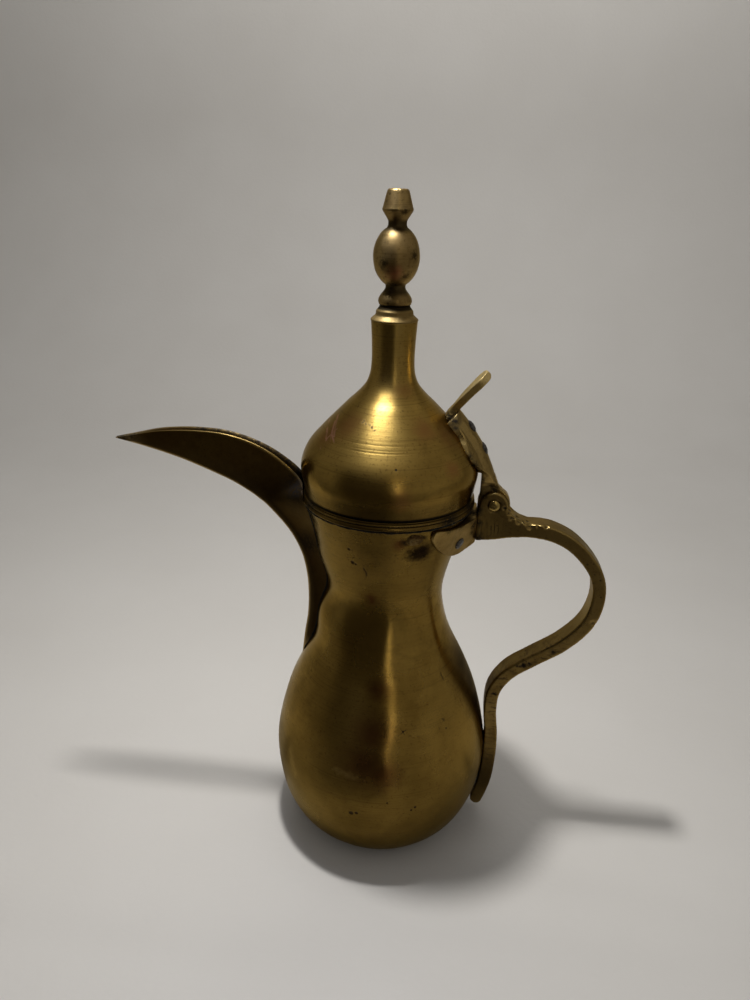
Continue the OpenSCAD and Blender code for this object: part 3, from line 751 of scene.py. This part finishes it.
def half_section(length, keel, width, start):
    """One side of a section, from the keel, which is rounded, out to the lip, as [distance, half width]."""
    turn_points = [[start + keel * (1 - math.cos(a)), keel * math.sin(a)]
                   for a in np.linspace(0, math.pi / 2, 9)]
    return turn_points + [[start + keel + (length - start - keel) * t, keel + (width - keel) * t ** 1.35]
                          for t in np.linspace(0, 1, 15)[1:]]


def spout_ring(keel_x, keel_z, edge_x, width, edge_z):
    """One section of the spout: round its outside, then back round its inside."""
    base = np.array([keel_x, keel_z])
    along = np.array([edge_x, edge_z]) - base
    length = np.linalg.norm(along)
    along /= length
    wall = min(spout_wall, 0.42 * width)
    keel = min(keel_r, 0.8 * width, 0.4 * length)
    outer = half_section(length, keel, width, 0.0)
    inner = half_section(length, max(keel - wall, 0.2), width - wall, wall)
    # the two lips are rounded over
    outer[-1][0] -= lip_round * wall
    inner[-1][0] -= lip_round * wall
    lip = [length, width - wall / 2]
    flat = ([[d, -w] for d, w in outer[::-1]] + outer[1:] + [lip] + inner[::-1]
            + [[d, -w] for d, w in inner[1:]] + [[lip[0], -lip[1]]])
    return [[base[0] + along[0] * d, w, base[1] + along[1] * d] for d, w in flat]


lip_crust = [((x, 3.6, z), 7) for x, z in ((-41, 182), (-46, 186), (-50, 189), (-55, 192), (-60, 194.5),
                                           (-66, 197), (-72, 198.5), (-78, 199), (-85, 199.3))]
# The light strip along the spout's keel is a painted highlight, the floor's reflection.
spout_brass = aged_brass(
    "spout_brass", rgb(0.20, 0.125, 0.032), rgb(0.11, 0.062, 0.014), brown, patch=26.0, cover=0.55,
    rough=(0.26, 0.42), arris_wear_and_highlight=0.2, pits=0.3, dark_belts=[(80, 181, 8, 0.78)], keel=rgb(0.50, 0.36, 0.16),
    dark_belt_colour=rgb(0.025, 0.012, 0.004),
    crust_and_shade=lip_crust + [((-123, 0, 193), 9), ((-116, 0, 195.5), 5), ((-41, -8, 177), 12),
                       ((-40.9, 0, 181), 9), ((-38, 0, 172), 13), ((-37, 9, 168), 12), ((-34, 0, 150), 10)])
spout = loft("beak", [spout_ring(*section) for section in spout_rows], spout_brass)

# The sheet ends where it meets the neck and the band, so a plug of their shape is cut out of it
band_r, plug_foot, plug_top = 38.25, 80, 182
plug_profile = body_profile[(body_profile[:, 1] > plug_foot) & (body_profile[:, 1] < body_h - 0.1)]
plug_outline = np.vstack([[[0, plug_foot + 0.5]], plug_profile,
                          [[band_r, body_h], [band_r, plug_top], [0, plug_top]]])
plug = turn("plug", plug_outline, spout_brass, 240)
swell(plug)
carve(spout, plug)
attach(spout, "pot")
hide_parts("spout")

# A bead along a line: solder or dirt that has run into a corner
beads, beads_in, given = geometry_tree(
    "seam_bead", ("Radius", "Float", 0.0005), ("Lump size", "Float", 330.0), ("Lump depth", "Float", 0.0003),
    ("Points", "Int", 260), ("Seed", "Float", 1.0))
path = put(beads, "GeometryNodeMeshToCurve", {"Mesh": given["Geometry"]})
even = put(beads, "GeometryNodeResampleCurve", {"Curve": path.outputs[0], "Count": given["Points"]})
round_section = put(beads, "GeometryNodeCurvePrimitiveCircle", {"Radius": given["Radius"], "Resolution": 14})
tube = put(beads, "GeometryNodeCurveToMesh",
           {"Curve": even.outputs[0], "Profile Curve": round_section.outputs[0], "Fill Caps": True})
lumpy = put(beads, "GeometryNodeSetPosition",
            {"Geometry": tube.outputs[0], "Offset": planish(given, "Lump", 2.0)})
close_tree(lumpy.outputs[0], given)


def seam_line(piece, side, low, high):
    """The widest points of a piece on one side, from the bottom up."""
    at = places_of(piece) / MM
    line = []
    for z in np.arange(low, high, 2.0):
        near = at[(np.abs(at[:, 2] - z) < 1.2) & (side * at[:, 1] > 0)]
        line.append(near[np.argmax(side * near[:, 1])])
    line = np.array(line)
    line[1:-1] = (line[:-2] + 2 * line[1:-1] + line[2:]) / 4
    return line


seam_low, seam_high = 89, 171
for side in (-1, 1):
    seam = grow("spout_seam", wire(seam_line(spout, side, seam_low, seam_high)), beads, beads_in,
                Material=dirt_and_shade, Radius=0.45 * MM, Lump=(330.0, 0.45), Seed=20.0 + side)
    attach(seam, "pot")

# Strainer ------------------------------------------------------------------------------------------------
# Rows of holes drilled through the neck behind the spout before it was soldered on, two and three by turns.
# They hold back the grounds and the cardamom.

strainer_x, strainer_low, strainer_rise, strainer_pitch = -31, 131, 6, 4.8
strainer_rows, hole_r, drill_half = 5, 1.7, 12
drill_outline = np.array([[0, -drill_half], [hole_r, -drill_half], [hole_r, drill_half], [0, drill_half]])
for row in range(strainer_rows):
    holes = 2 + row % 2
    for k in range(holes):
        drill = turn("drill", drill_outline, body_brass, 20)
        hole_at = Vector((strainer_x, strainer_pitch * (k - (holes - 1) / 2),
                          strainer_low + strainer_rise * row))
        drill.data.transform(Matrix.Translation(hole_at * MM) @ Matrix.Rotation(math.pi / 2, 4, "Y"))
        carve(body, drill)

# Handle --------------------------------------------------------------------------------------------------
# One brass casting in a long S, with two cheeks for the hinge. Its flat sides are filed, and its edges are
# worn bright, with painted highlights along them. The sand has left pits and chewed places in it.

skin_tree, skin_in, given = geometry_tree(
    "cast_skin", ("Grain size", "Float", 300.0), ("Grain depth", "Float", 0.00004),
    ("Wave size", "Float", 60.0), ("Wave depth", "Float", 0.0001), ("File pitch", "Float", 0.0013),
    ("File depth", "Float", 0.0), ("File top", "Float", 0.08), ("Seed", "Float", 1.0))
position = skin_tree.nodes.new("GeometryNodeInputPosition").outputs[0]
up = put(skin_tree, "ShaderNodeSeparateXYZ", {0: position}).outputs[2]
wander = put(skin_tree, "ShaderNodeTexNoise", {"Vector": position, "Scale": 240.0, "Detail": 2.0}).outputs[0]
strokes = plus(math_node("DIVIDE", up, given["File pitch"]), times(wander, 1.6))
strokes = math_node("SINE", times(strokes, 2 * math.pi))
strokes = times(strokes, fade(wander, 0.40, 0.58))
strokes = times(strokes, math_node("LESS_THAN", up, given["File top"]))
normal = skin_tree.nodes.new("GeometryNodeInputNormal").outputs[0]
filed = vector_node("SCALE", normal, scale=times(strokes, given["File depth"]))
rough_skin = vector_node("ADD", planish(given, "Grain", 3.0), planish(given, "Wave", 1.0))
worked = put(skin_tree, "GeometryNodeSetPosition", {
    "Geometry": given["Geometry"], "Offset": vector_node("ADD", rough_skin, filed)})
close_tree(worked.outputs[0], given)


def cast(name, node, material, voxel, soften, **values):
    """A casting over a CAD node: its corners are worn round and its skin gets the grain of the sand."""
    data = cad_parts[node].data.copy()
    form = bmesh.new()
    form.from_mesh(data)
    bmesh.ops.remove_doubles(form, verts=form.verts, dist=1e-6)
    form.to_mesh(data)
    form.free()
    data.materials.clear()
    if "custom_normal" in data.attributes:
        data.attributes.remove(data.attributes["custom_normal"])
    block = add_object("block", data)
    skin = block.modifiers.new("skin", "REMESH")
    skin.mode = "VOXEL"
    skin.voxel_size = voxel * MM
    wear = block.modifiers.new("wear", "SMOOTH")
    wear.factor = 0.5
    wear.iterations = soften
    settle(block)
    return grow(name, block, skin_tree, skin_in, Material=material, **values)


# The darker belt low on the handle's foot is painted shade.
cast_brass = aged_brass(
    "cast_brass", rgb(0.215, 0.142, 0.044), rgb(0.145, 0.09, 0.025), brown, patch=24.0, cover=0.48,
    rough=(0.28, 0.46), arris_wear_and_highlight=0.5, pits=0.7, grain=0.5, polish_and_highlight_lines=[((42, -5, 166), (47, -5, 161), 9)],
    filed=[((1100, 1100, 110), [((43.5, -5, 162.5), 8), ((47.5, -5, 163), 6), ((41, -5, 158), 7)]),
           ((200, 200, 760), [((80, -5, 101), 15), ((68, -5, 96), 15), ((58, -5, 85), 16),
                              ((54, -5, 70), 16), ((54, -5, 55), 16), ((52, -5, 40), 14)])],
    dark_belts=[(14, 38, 10, 0.85)], dark_belt_colour=rgb(0.035, 0.021, 0.007),
    crust_and_shade=[((69.5, -5, 94.4), 2.2), ((66.7, -5, 93.5), 2.6), ((64.9, -5, 92.8), 2.0),
           ((79.7, -5, 102.1), 2.4), ((54.6, -5, 75.7), 1.8), ((41, -5, 158), 4), ((40, 0, 170), 5),
           ((46.6, -5, 173.4), 5.4), ((40.3, -5, 165), 3.2), ((40, -5, 171), 3.6), ((42, -5, 178), 3)])
handle = cast("handle_casting", "handle", cast_brass, 0.42, soften=4, Grain=(260.0, 0.05),
              Wave=(45.0, 0.22), File_depth=0.05 * MM, File_pitch=1.35 * MM, Seed=11.0)
press(handle, [
    ((51.2, -5, 172.8), 1.2, 0.6), ((53.6, -5, 170.6), 1.5, 0.7), ((56, -5, 168.6), 1.2, 0.6),
    ((60.2, -3, 166.8), 1.3, 0.5), ((57.5, -1.5, 168), 1.6, 0.5), ((62, -1, 166.2), 1.4, 0.4),
    ((52.6, -3, 171.6), 1.4, 0.4), ((58.3, -5.4, 167.2), 2.2, 0.9), ((63.3, -5.4, 165.4), 2.6, 1.1),
    ((54.8, -5.2, 168.3), 1.8, 0.6), ((60.9, -4.2, 166.6), 1.5, 0.5), ((70.1, -5.0, 165.3), 1.3, 0.9),
    ((66.2, -5.2, 165.4), 1.6, 0.5), ((69.5, -5, 94.4), 1.0, 0.4), ((66.7, -5, 93.5), 1.3, 0.4),
    ((79.7, -5, 102.1), 1.1, 0.4), ((54.6, -5, 75.7), 0.9, 0.35), ((96, -5.3, 119.0), 2.2, 0.4),
    ((90.5, 5.2, 110.0), 2.0, 0.4)])
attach(handle, "pot")
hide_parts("handle")

# Saddle --------------------------------------------------------------------------------------------------
# A thick plate bent round the back of the neck, with a round wing at each side. It is brazed to the handle's
# block and riveted through the wings, and the rivets' iron heads are hammered nearly flush.

# The crust along the saddle's top, under the band, is painted shade.
saddle_brass = aged_brass(
    "saddle_brass", rgb(0.33, 0.22, 0.074), rgb(0.21, 0.135, 0.044), brown, patch=30.0, cover=0.50,
    rough=(0.30, 0.46), arris_wear_and_highlight=0.5, grain=0.4,
    crust_and_shade=[((38.4, -9.1, 165.7), 3.2), ((38.6, -8.6, 161), 2.4), ((33, -19, 171), 6), ((28, -24.5, 171), 5),
           ((37.8, -2.4, 168.9), 6), ((36.5, -12, 171), 6)])
saddle = cast("saddle", "handle_saddle", saddle_brass, 0.32, soften=3, Grain=(300.0, 0.05),
              Wave=(80.0, 0.15), Seed=7.0)
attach(saddle, "pot")
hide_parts("handle_saddle")

heads, heads_in, given = geometry_tree(
    "hammered_heads", ("Radius", "Float", 0.0023), ("Height", "Float", 0.0008),
    ("Hammering size", "Float", 420.0), ("Hammering depth", "Float", 0.00012), ("Seed", "Float", 1.0))
ball = put(heads, "GeometryNodeMeshUVSphere", {"Segments": 32, "Rings": 16, "Radius": 1.0})
facing = put(heads, "GeometryNodeInputNamedAttribute", {"Name": "facing"}, data_type="FLOAT_VECTOR")
turned_to = put(heads, "FunctionNodeAlignRotationToVector", {"Vector": facing.outputs[0]}, axis="Z")
sizes = put(heads, "ShaderNodeCombineXYZ", {0: given["Radius"], 1: given["Radius"], 2: given["Height"]})
set_out = put(heads, "GeometryNodeInstanceOnPoints", {
    "Points": given["Geometry"], "Instance": ball.outputs[0], "Rotation": turned_to.outputs[0],
    "Scale": sizes.outputs[0]})
loose = put(heads, "GeometryNodeRealizeInstances", {"Geometry": set_out.outputs[0]})
struck = put(heads, "GeometryNodeSetPosition", {
    "Geometry": loose.outputs[0], "Offset": planish(given, "Hammering", 1.0)})
close_tree(struck.outputs[0], given)


def rivets(name, places, **values):
    """Iron rivet heads at places, each (point in mm, direction it faces)."""
    data = bpy.data.meshes.new("rivet_places")
    data.from_pydata([Vector(at) * MM for at, facing in places], [], [])
    store = data.attributes.new("facing", "FLOAT_VECTOR", "POINT")
    for entry, (at, facing) in zip(store.data, places):
        entry.vector = facing
    return grow(name, add_object("rivet_places", data), heads, heads_in, Material=iron,
                Hammering=(420.0, 0.14), **values)


iron, skin, where = shader("rivet_iron", Metallic=0.25, Specular_IOR_Level=0.3)
mottle = noise(where, 900.0, 4.0, 0.7)
tone = blend(fade(mottle, 0.35, 0.62), rgb(0.020, 0.016, 0.012), rgb(0.080, 0.068, 0.052))
tone = blend(fade(mottle, 0.62, 0.72), tone, rgb(0.28, 0.24, 0.17))
dress(skin, tone, fade(mottle, 0.3, 0.7, 0.6, 0.36), (mottle, 0.6, 0.00015))


def neck_radius(z):
    return np.interp(z, body_profile[:, 1], body_profile[:, 0])


# Each wing lies on the neck, turned from the handle, and its rivet stands off the wing's middle
wing_turn, wing_z, wing_half, saddle_t = math.radians(35), 162.0, 8, 1.6
rivet_along, rivet_down, rivet_proud = 7.4, 3.6, 0.05
wing_slope = math.atan((neck_radius(wing_z + wing_half) - neck_radius(wing_z - wing_half)) / (2 * wing_half))
wing_places = []
for side in (-1, 1):
    on_wing = (Matrix.Rotation(side * wing_turn, 4, "Z")
               @ Matrix.Translation((neck_radius(wing_z) + saddle_t, 0, wing_z))
               @ Matrix.Rotation(wing_slope, 4, "Y"))
    at = on_wing @ Vector((rivet_proud, -side * rivet_along, -rivet_down))
    wing_places.append((tuple(at), tuple(on_wing.to_3x3() @ Vector((1, 0, 0)))))
wing_rivets = rivets("saddle_rivet_heads", wing_places, Radius=2.7 * MM, Height=0.72 * MM)
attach(wing_rivets, "pot")
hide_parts("saddle_rivets")

# Foot solder ---------------------------------------------------------------------------------------------
# Grey soft solder run in between the belly and the handle's foot. It was left lumpy as it set, and has gone
# dull and dark in its hollows.

solder, skin, where = shader("grey_solder", Metallic=0.7)
mottle = noise(where, 420.0, 5.0, 0.65)
tone = blend(fade(mottle, 0.42, 0.60), rgb(0.05, 0.045, 0.035), rgb(0.30, 0.29, 0.25))
dress(skin, tone, fade(mottle, 0.35, 0.65, 0.7, 0.42), (mottle, 0.5, 0.0002))
foot = cast("foot_solder_run", "foot_solder", solder, 0.25, soften=2, Grain=(330.0, 0.30),
            Wave=(120.0, 0.4), Seed=2.0)
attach(foot, "pot")
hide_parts("foot_solder")

# Neck repair ---------------------------------------------------------------------------------------------
# A small hole in the neck was filled with a rough blob of brazing. Its heat and flux have blackened the sheet
# round it.

repair_azimuth, repair_r, repair_z, repair_lean = math.radians(-66.7), 35.7, 167.6, -0.25
repair_half = (3.4, 2.8, 0.9)
blob_form = bmesh.new()
bmesh.ops.create_icosphere(blob_form, subdivisions=5, radius=1.0)
blob_data = bpy.data.meshes.new("blob")
blob_form.to_mesh(blob_data)
blob_form.free()
level = Vector((math.cos(repair_azimuth), math.sin(repair_azimuth), 0))
out = (level + Vector((0, 0, repair_lean))).normalized()
blob_data.transform(Matrix.Translation(level * repair_r * MM + Vector((0, 0, repair_z * MM)))
                    @ out.to_track_quat("Z", "Y").to_matrix().to_4x4()
                    @ Matrix.Diagonal([half * MM for half in repair_half] + [1]))
patch_brass = aged_brass(
    "patch_brass", rgb(0.20, 0.135, 0.05), rgb(0.07, 0.036, 0.012), rgb(0.03, 0.018, 0.01), patch=160.0,
    cover=0.55, rough=(0.35, 0.6), grain=1.0, arris_wear_and_highlight=0.5)
blob = grow("neck_repair", add_object("blob", blob_data), skin_tree, skin_in, Material=patch_brass,
            Grain=(700.0, 0.16), Wave=(320.0, 0.75), Seed=4.0)
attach(blob, "pot")

# Hinge pin -----------------------------------------------------------------------------------------------
# A brass pin through both cheeks and the strap's knuckle. Its ends are peened over in shallow sinks, and dirt
# has gathered round them.

pin_x, pin_z, pin_r, pin_head_r, handle_w = 46.6, 173.4, 2.0, 2.6, 10.0
pin_brass = aged_brass(
    "pin_brass", rgb(0.36, 0.25, 0.075), rgb(0.22, 0.145, 0.042), brown, patch=120.0, cover=0.42,
    rough=(0.25, 0.4), arris_wear_and_highlight=0.5)
half = handle_w / 2
pin_outline = rounded([[0, -half - 0.55], [1.4, -half - 0.45], [2.5, -half], [pin_head_r, 0.5 - half],
                       [pin_r, 0.55 - half], [pin_r, half - 0.55], [pin_head_r, half - 0.5], [2.5, half],
                       [1.4, half + 0.45], [0, half + 0.55]], 0.25)
pin = turn("hinge_pin_peened", pin_outline, pin_brass, 48, Grain=(400.0, 0.05))
pin.data.transform(Matrix.Translation((pin_x * MM, 0, pin_z * MM)) @ Matrix.Rotation(math.pi / 2, 4, "X"))
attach(pin, "pot")
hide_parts("hinge_pin")

# Lid dome ------------------------------------------------------------------------------------------------
# Spun sheet that rises from the rim into a tall stem, with three rings scribed round it on the lathe. It has
# been dropped and knocked back into shape, and it is scratched down to the copper on the spout's side.

pink = rgb(0.56, 0.27, 0.16)
# The black belt at the lid's rim is painted shade in the gap over the band, the belt above it darkens the
# dome towards the rim, and the line down the stem is a painted highlight.
lid_brass = aged_brass(
    "lid_brass", golden, olive, brown, patch=16.0, cover=0.46, rough=(0.30, 0.44), brushed=0.6,
    anisotropy=0.45, grain=0.15,
    red=[((15.5, -19, 210.3), 8), ((24, -12, 206), 10), ((5, -8, 222), 7), ((-17, -19, 211), 11),
         ((-24, -16, 205), 10), ((8, -37, 186), 7), ((28, -24, 196), 6)],
    scored_colour=pink,
    scored=[((-21.7, -8.5, 211.5), (-21.4, -19.2, 205.4), 1.0),
            ((-25.9, -5.3, 208.3), (-25.1, -18.1, 203.3), 0.7),
            ((-22.5, -11.2, 209.6), (-23.4, -21.5, 203.6), 0.9),
            ((-25.9, -11.2, 206.4), (-23.9, -18.8, 202.9), 0.8),
            ((-20.6, -16.5, 207.9), (-24.8, -17.6, 203.8), 0.6),
            ((-22.9, -16.4, 206.3), (-21.2, -22.6, 203.9), 0.7),
            ((-27, -19.6, 200.7), (-30.1, -24, 190.4), 0.3)],
    dark_belts=[(170, 177.3, 0.5, 0.97), (170, 183, 4, 0.45)], dark_belt_colour=rgb(0.012, 0.009, 0.006),
    red_colour=rgb(0.25, 0.12, 0.032), sleek=(176, 195, 3, 0.13),
    polish_and_highlight_lines=[((1.5, -9.2, 224), (1.5, -9.2, 250), 5)],
    crust_and_shade=[((-9.5, -20, 212.7), 1.3), ((-8.3, -21.1, 212.2), 1.0), ((-6.8, -21.8, 212), 1.2),
           ((-5.6, -22.8, 211.4), 1.4), ((-4.4, -23.8, 210.7), 1.0)],
    pocks=[((5.6, -34.8, 198.1), 0.8), ((5.4, -34.5, 198.9), 0.5)])
stem_r, lid_wall, stem_top, lid_low = 9.6, 1.1, 250.3, 176.1
lid_profile = curve_through([
    [36.9, lid_low], [37.9, 181.5], [38.8, 187], [38.1, 192], [35.3, 198], [30.4, 204], [24.8, 210],
    [18.9, 216], [14.7, 220], [11.2, 224.2], [9.5, 228.6], [8.95, 234], [9.1, 241], [stem_r, stem_top]], 12)
# The scribed rings, each as its height and depth, and the close rows of points that they need
scribed, scribed_half = ((203.1, 0.06), (204.0, 0.035), (205.7, 0.05)), 0.28
heights = np.unique(np.concatenate([lid_profile[:, 1], np.arange(202.3, 206.6, 0.13)]))
heights = heights[(heights >= lid_low) & (heights <= stem_top)]
radii = np.interp(heights, lid_profile[:, 1], lid_profile[:, 0])
for ring_z, ring_depth in scribed:
    radii -= ring_depth * np.exp(-((heights - ring_z) / scribed_half) ** 2)
outside = np.stack([radii, heights], 1)
lid_inside = offset_curve(lid_profile[::3], lid_wall)
lid_inside = lid_inside[(lid_inside[:, 1] > lid_low + 0.15) & (lid_inside[:, 1] < stem_top)][::-1]
dome = turn("lid_dome_spun", np.vstack([outside, [[stem_r - lid_wall, stem_top]], lid_inside]), lid_brass,
            260, Planish=(36.0, 0.25), Grain=(150.0, 0.02), Seed=8.0)
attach(dome, "lid")
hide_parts("lid_dome")

# Stem cap and finial -------------------------------------------------------------------------------------
# Both are turned from cast brass: a stepped cap that closes the stem, and a knob of a ring, a long bead and a
# double cone. The knob's tang goes through the cap and is soldered inside the stem.

finial_brass = aged_brass(
    "finial_brass", rgb(0.33, 0.22, 0.075), rgb(0.22, 0.14, 0.047), brown, patch=40.0, cover=0.5,
    rough=(0.28, 0.46), arris_wear_and_highlight=0.6, brushed=0.35, pits=0.7, grain=0.7, anisotropy=0.3,
    dark_belts=[(284.5, 288.8, 1.2, 0.8), (260.8, 264.6, 1.2, 0.8), (255.2, 257, 0.4, 0.95)],
    dark_belt_colour=rgb(0.02, 0.014, 0.007), red=[((0, -7, 270), 5)],
    crust_and_shade_colour=rgb(0.055, 0.035, 0.013),
    crust_and_shade=[((-4, -8, 281), 3), ((-4, -8, 273), 3.5), ((5, -7.5, 268), 3.5), ((0, -7, 288.5), 4),
           ((-2, -6, 262), 5), ((3, -5, 292), 3), ((7, -5, 276), 3.5)])
cap_brass = aged_brass(
    "cap_brass", rgb(0.30, 0.20, 0.068), rgb(0.20, 0.13, 0.042), brown, patch=40.0, cover=0.5,
    rough=(0.44, 0.60), arris_wear_and_highlight=0.4, brushed=0.3, grain=0.6, dark_belts=[(254.9, 257, 0.4, 0.95)],
    dark_belt_colour=rgb(0.02, 0.014, 0.007))
cap_top = 256.3
cap_outline = rounded([[2.2, 247], [8.1, 247], [8.4, stem_top], [9.75, stem_top], [9.75, 250.9], [9.1, 251.5],
                       [7.9, 252.5], [7.7, 253], [7.6, 254.2], [7.2, 254.7], [6.4, 255.7], [6.2, cap_top],
                       [2.2, cap_top]], 0.22)
cap = turn("stem_cap_turned", cap_outline, cap_brass, 120, Planish=(90.0, 0.06))
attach(cap, "lid")
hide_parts("stem_cap")


def thicken_rows(outline, step):
    """The outline with extra points wherever two are further apart than the step."""
    out = []
    for a, b in zip(outline, np.roll(outline, -1, axis=0)):
        parts = max(1, int(math.ceil(np.linalg.norm(b - a) / step)))
        out += [a + (b - a) * k / parts for k in range(parts)]
    return np.array(out)


# The tang stays as thin as the hole in the cap, and everything above the cap is that much fuller
finial_fuller = 1.06
foot_ring = [[0, 246], [2.2, 246], [2.2, cap_top], [5.7, cap_top], [6.2, 256.9], [6.5, 258], [6.3, 259.2],
             [5.6, 260.5], [4.6, 261.8], [4, 262.7], [3.8, 263.4]]
long_bead = [[8.8 * math.cos(a), 275.2 + 12 * math.sin(a)] for a in np.radians(np.arange(-64, 65, 4))]
double_cone = [[3.5, 287], [3.5, 288.3], [4.2, 289.6], [5.7, 292.1], [5.8, 292.6], [5.6, 293.2], [4.4, 298],
               [4, 299.4], [3.4, 300], [0, 300]]
finial_outline = thicken_rows(rounded(foot_ring + long_bead + double_cone, 0.3), 0.7)
finial_outline[:, 0] *= np.where(finial_outline[:, 1] > cap_top + 0.05, finial_fuller, 1.0)
finial = turn("finial_turned", finial_outline, finial_brass, 120, Planish=(120.0, 0.16),
              Grain=(500.0, 0.03), Seed=6.0)
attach(finial, "lid")
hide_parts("finial")

# Skirt ---------------------------------------------------------------------------------------------------
# A ring of sheet soldered inside the lid. It drops into the mouth and keeps the lid in its place, and it is
# as dull as the base.

repaint("lid_skirt", base_brass)

# Hinge strap ---------------------------------------------------------------------------------------------
# A cast leaf with a raised crown, filed to follow the dome and held by two iron rivets. Its narrow end is the
# hinge's knuckle.

# The light line along the strap's flank is a painted highlight, and the crust round the knuckle is partly
# painted shade.
strap_brass = aged_brass(
    "strap_brass", rgb(0.32, 0.215, 0.07), rgb(0.20, 0.13, 0.04), brown, patch=50.0, cover=0.44,
    rough=(0.26, 0.44), arris_wear_and_highlight=0.45, pits=0.5, grain=0.5,
    crust_and_shade=[((27, -6, 211), 4.5), ((40.3, 0, 178), 6), ((39.5, -3, 185.5), 5), ((46, -3, 180.5), 4),
           ((34.9, -12.5, 197.4), 3.5), ((36.5, -10.5, 193.5), 4), ((27.5, -8, 208.5), 3)],
    polish_and_highlight_lines=[((29.5, -7.5, 206.5), (32.6, -10.3, 201), 1.6)])
strap = cast("strap_casting", "hinge_strap", strap_brass, 0.28, soften=3, Grain=(330.0, 0.06),
             Wave=(110.0, 0.25), Seed=9.0)
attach(strap, "lid")
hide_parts("hinge_strap")

# The strap's crown is an arc, and its rivets stand on it at these angles, a little sunk
arc_x, arc_z, arc_r, head_sunk = -25.9, 162.0, 75.9, 0.4
strap_places = []
for angle in (36.9, 28.5):
    facing = Vector((math.cos(math.radians(angle)), 0, math.sin(math.radians(angle))))
    strap_places.append((tuple(Vector((arc_x, 0, arc_z)) + facing * (arc_r - head_sunk)), tuple(facing)))
strap_rivets = rivets("strap_rivet_heads", strap_places, Radius=3.0 * MM, Height=1.15 * MM)
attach(strap_rivets, "lid")
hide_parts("strap_rivets")

# Thumb piece ---------------------------------------------------------------------------------------------
# A small bent leaf under the strap's upper rivet, pressed by the thumb to lift the lid. Handling keeps its
# face bright.

thumb_brass = aged_brass(
    "thumb_brass", rgb(0.46, 0.33, 0.12), rgb(0.33, 0.235, 0.085), brown, patch=50.0, cover=0.44,
    rough=(0.55, 0.70), grain=0.4, crust_and_shade=[((25.4, -3, 211.5), 5), ((27, 0, 211), 5)])
thumb = cast("thumb_leaf", "thumb_piece", thumb_brass, 0.26, soften=4, Grain=(300.0, 0.04),
             Wave=(90.0, 0.15), Seed=12.0)
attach(thumb, "lid")
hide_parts("thumb_piece")
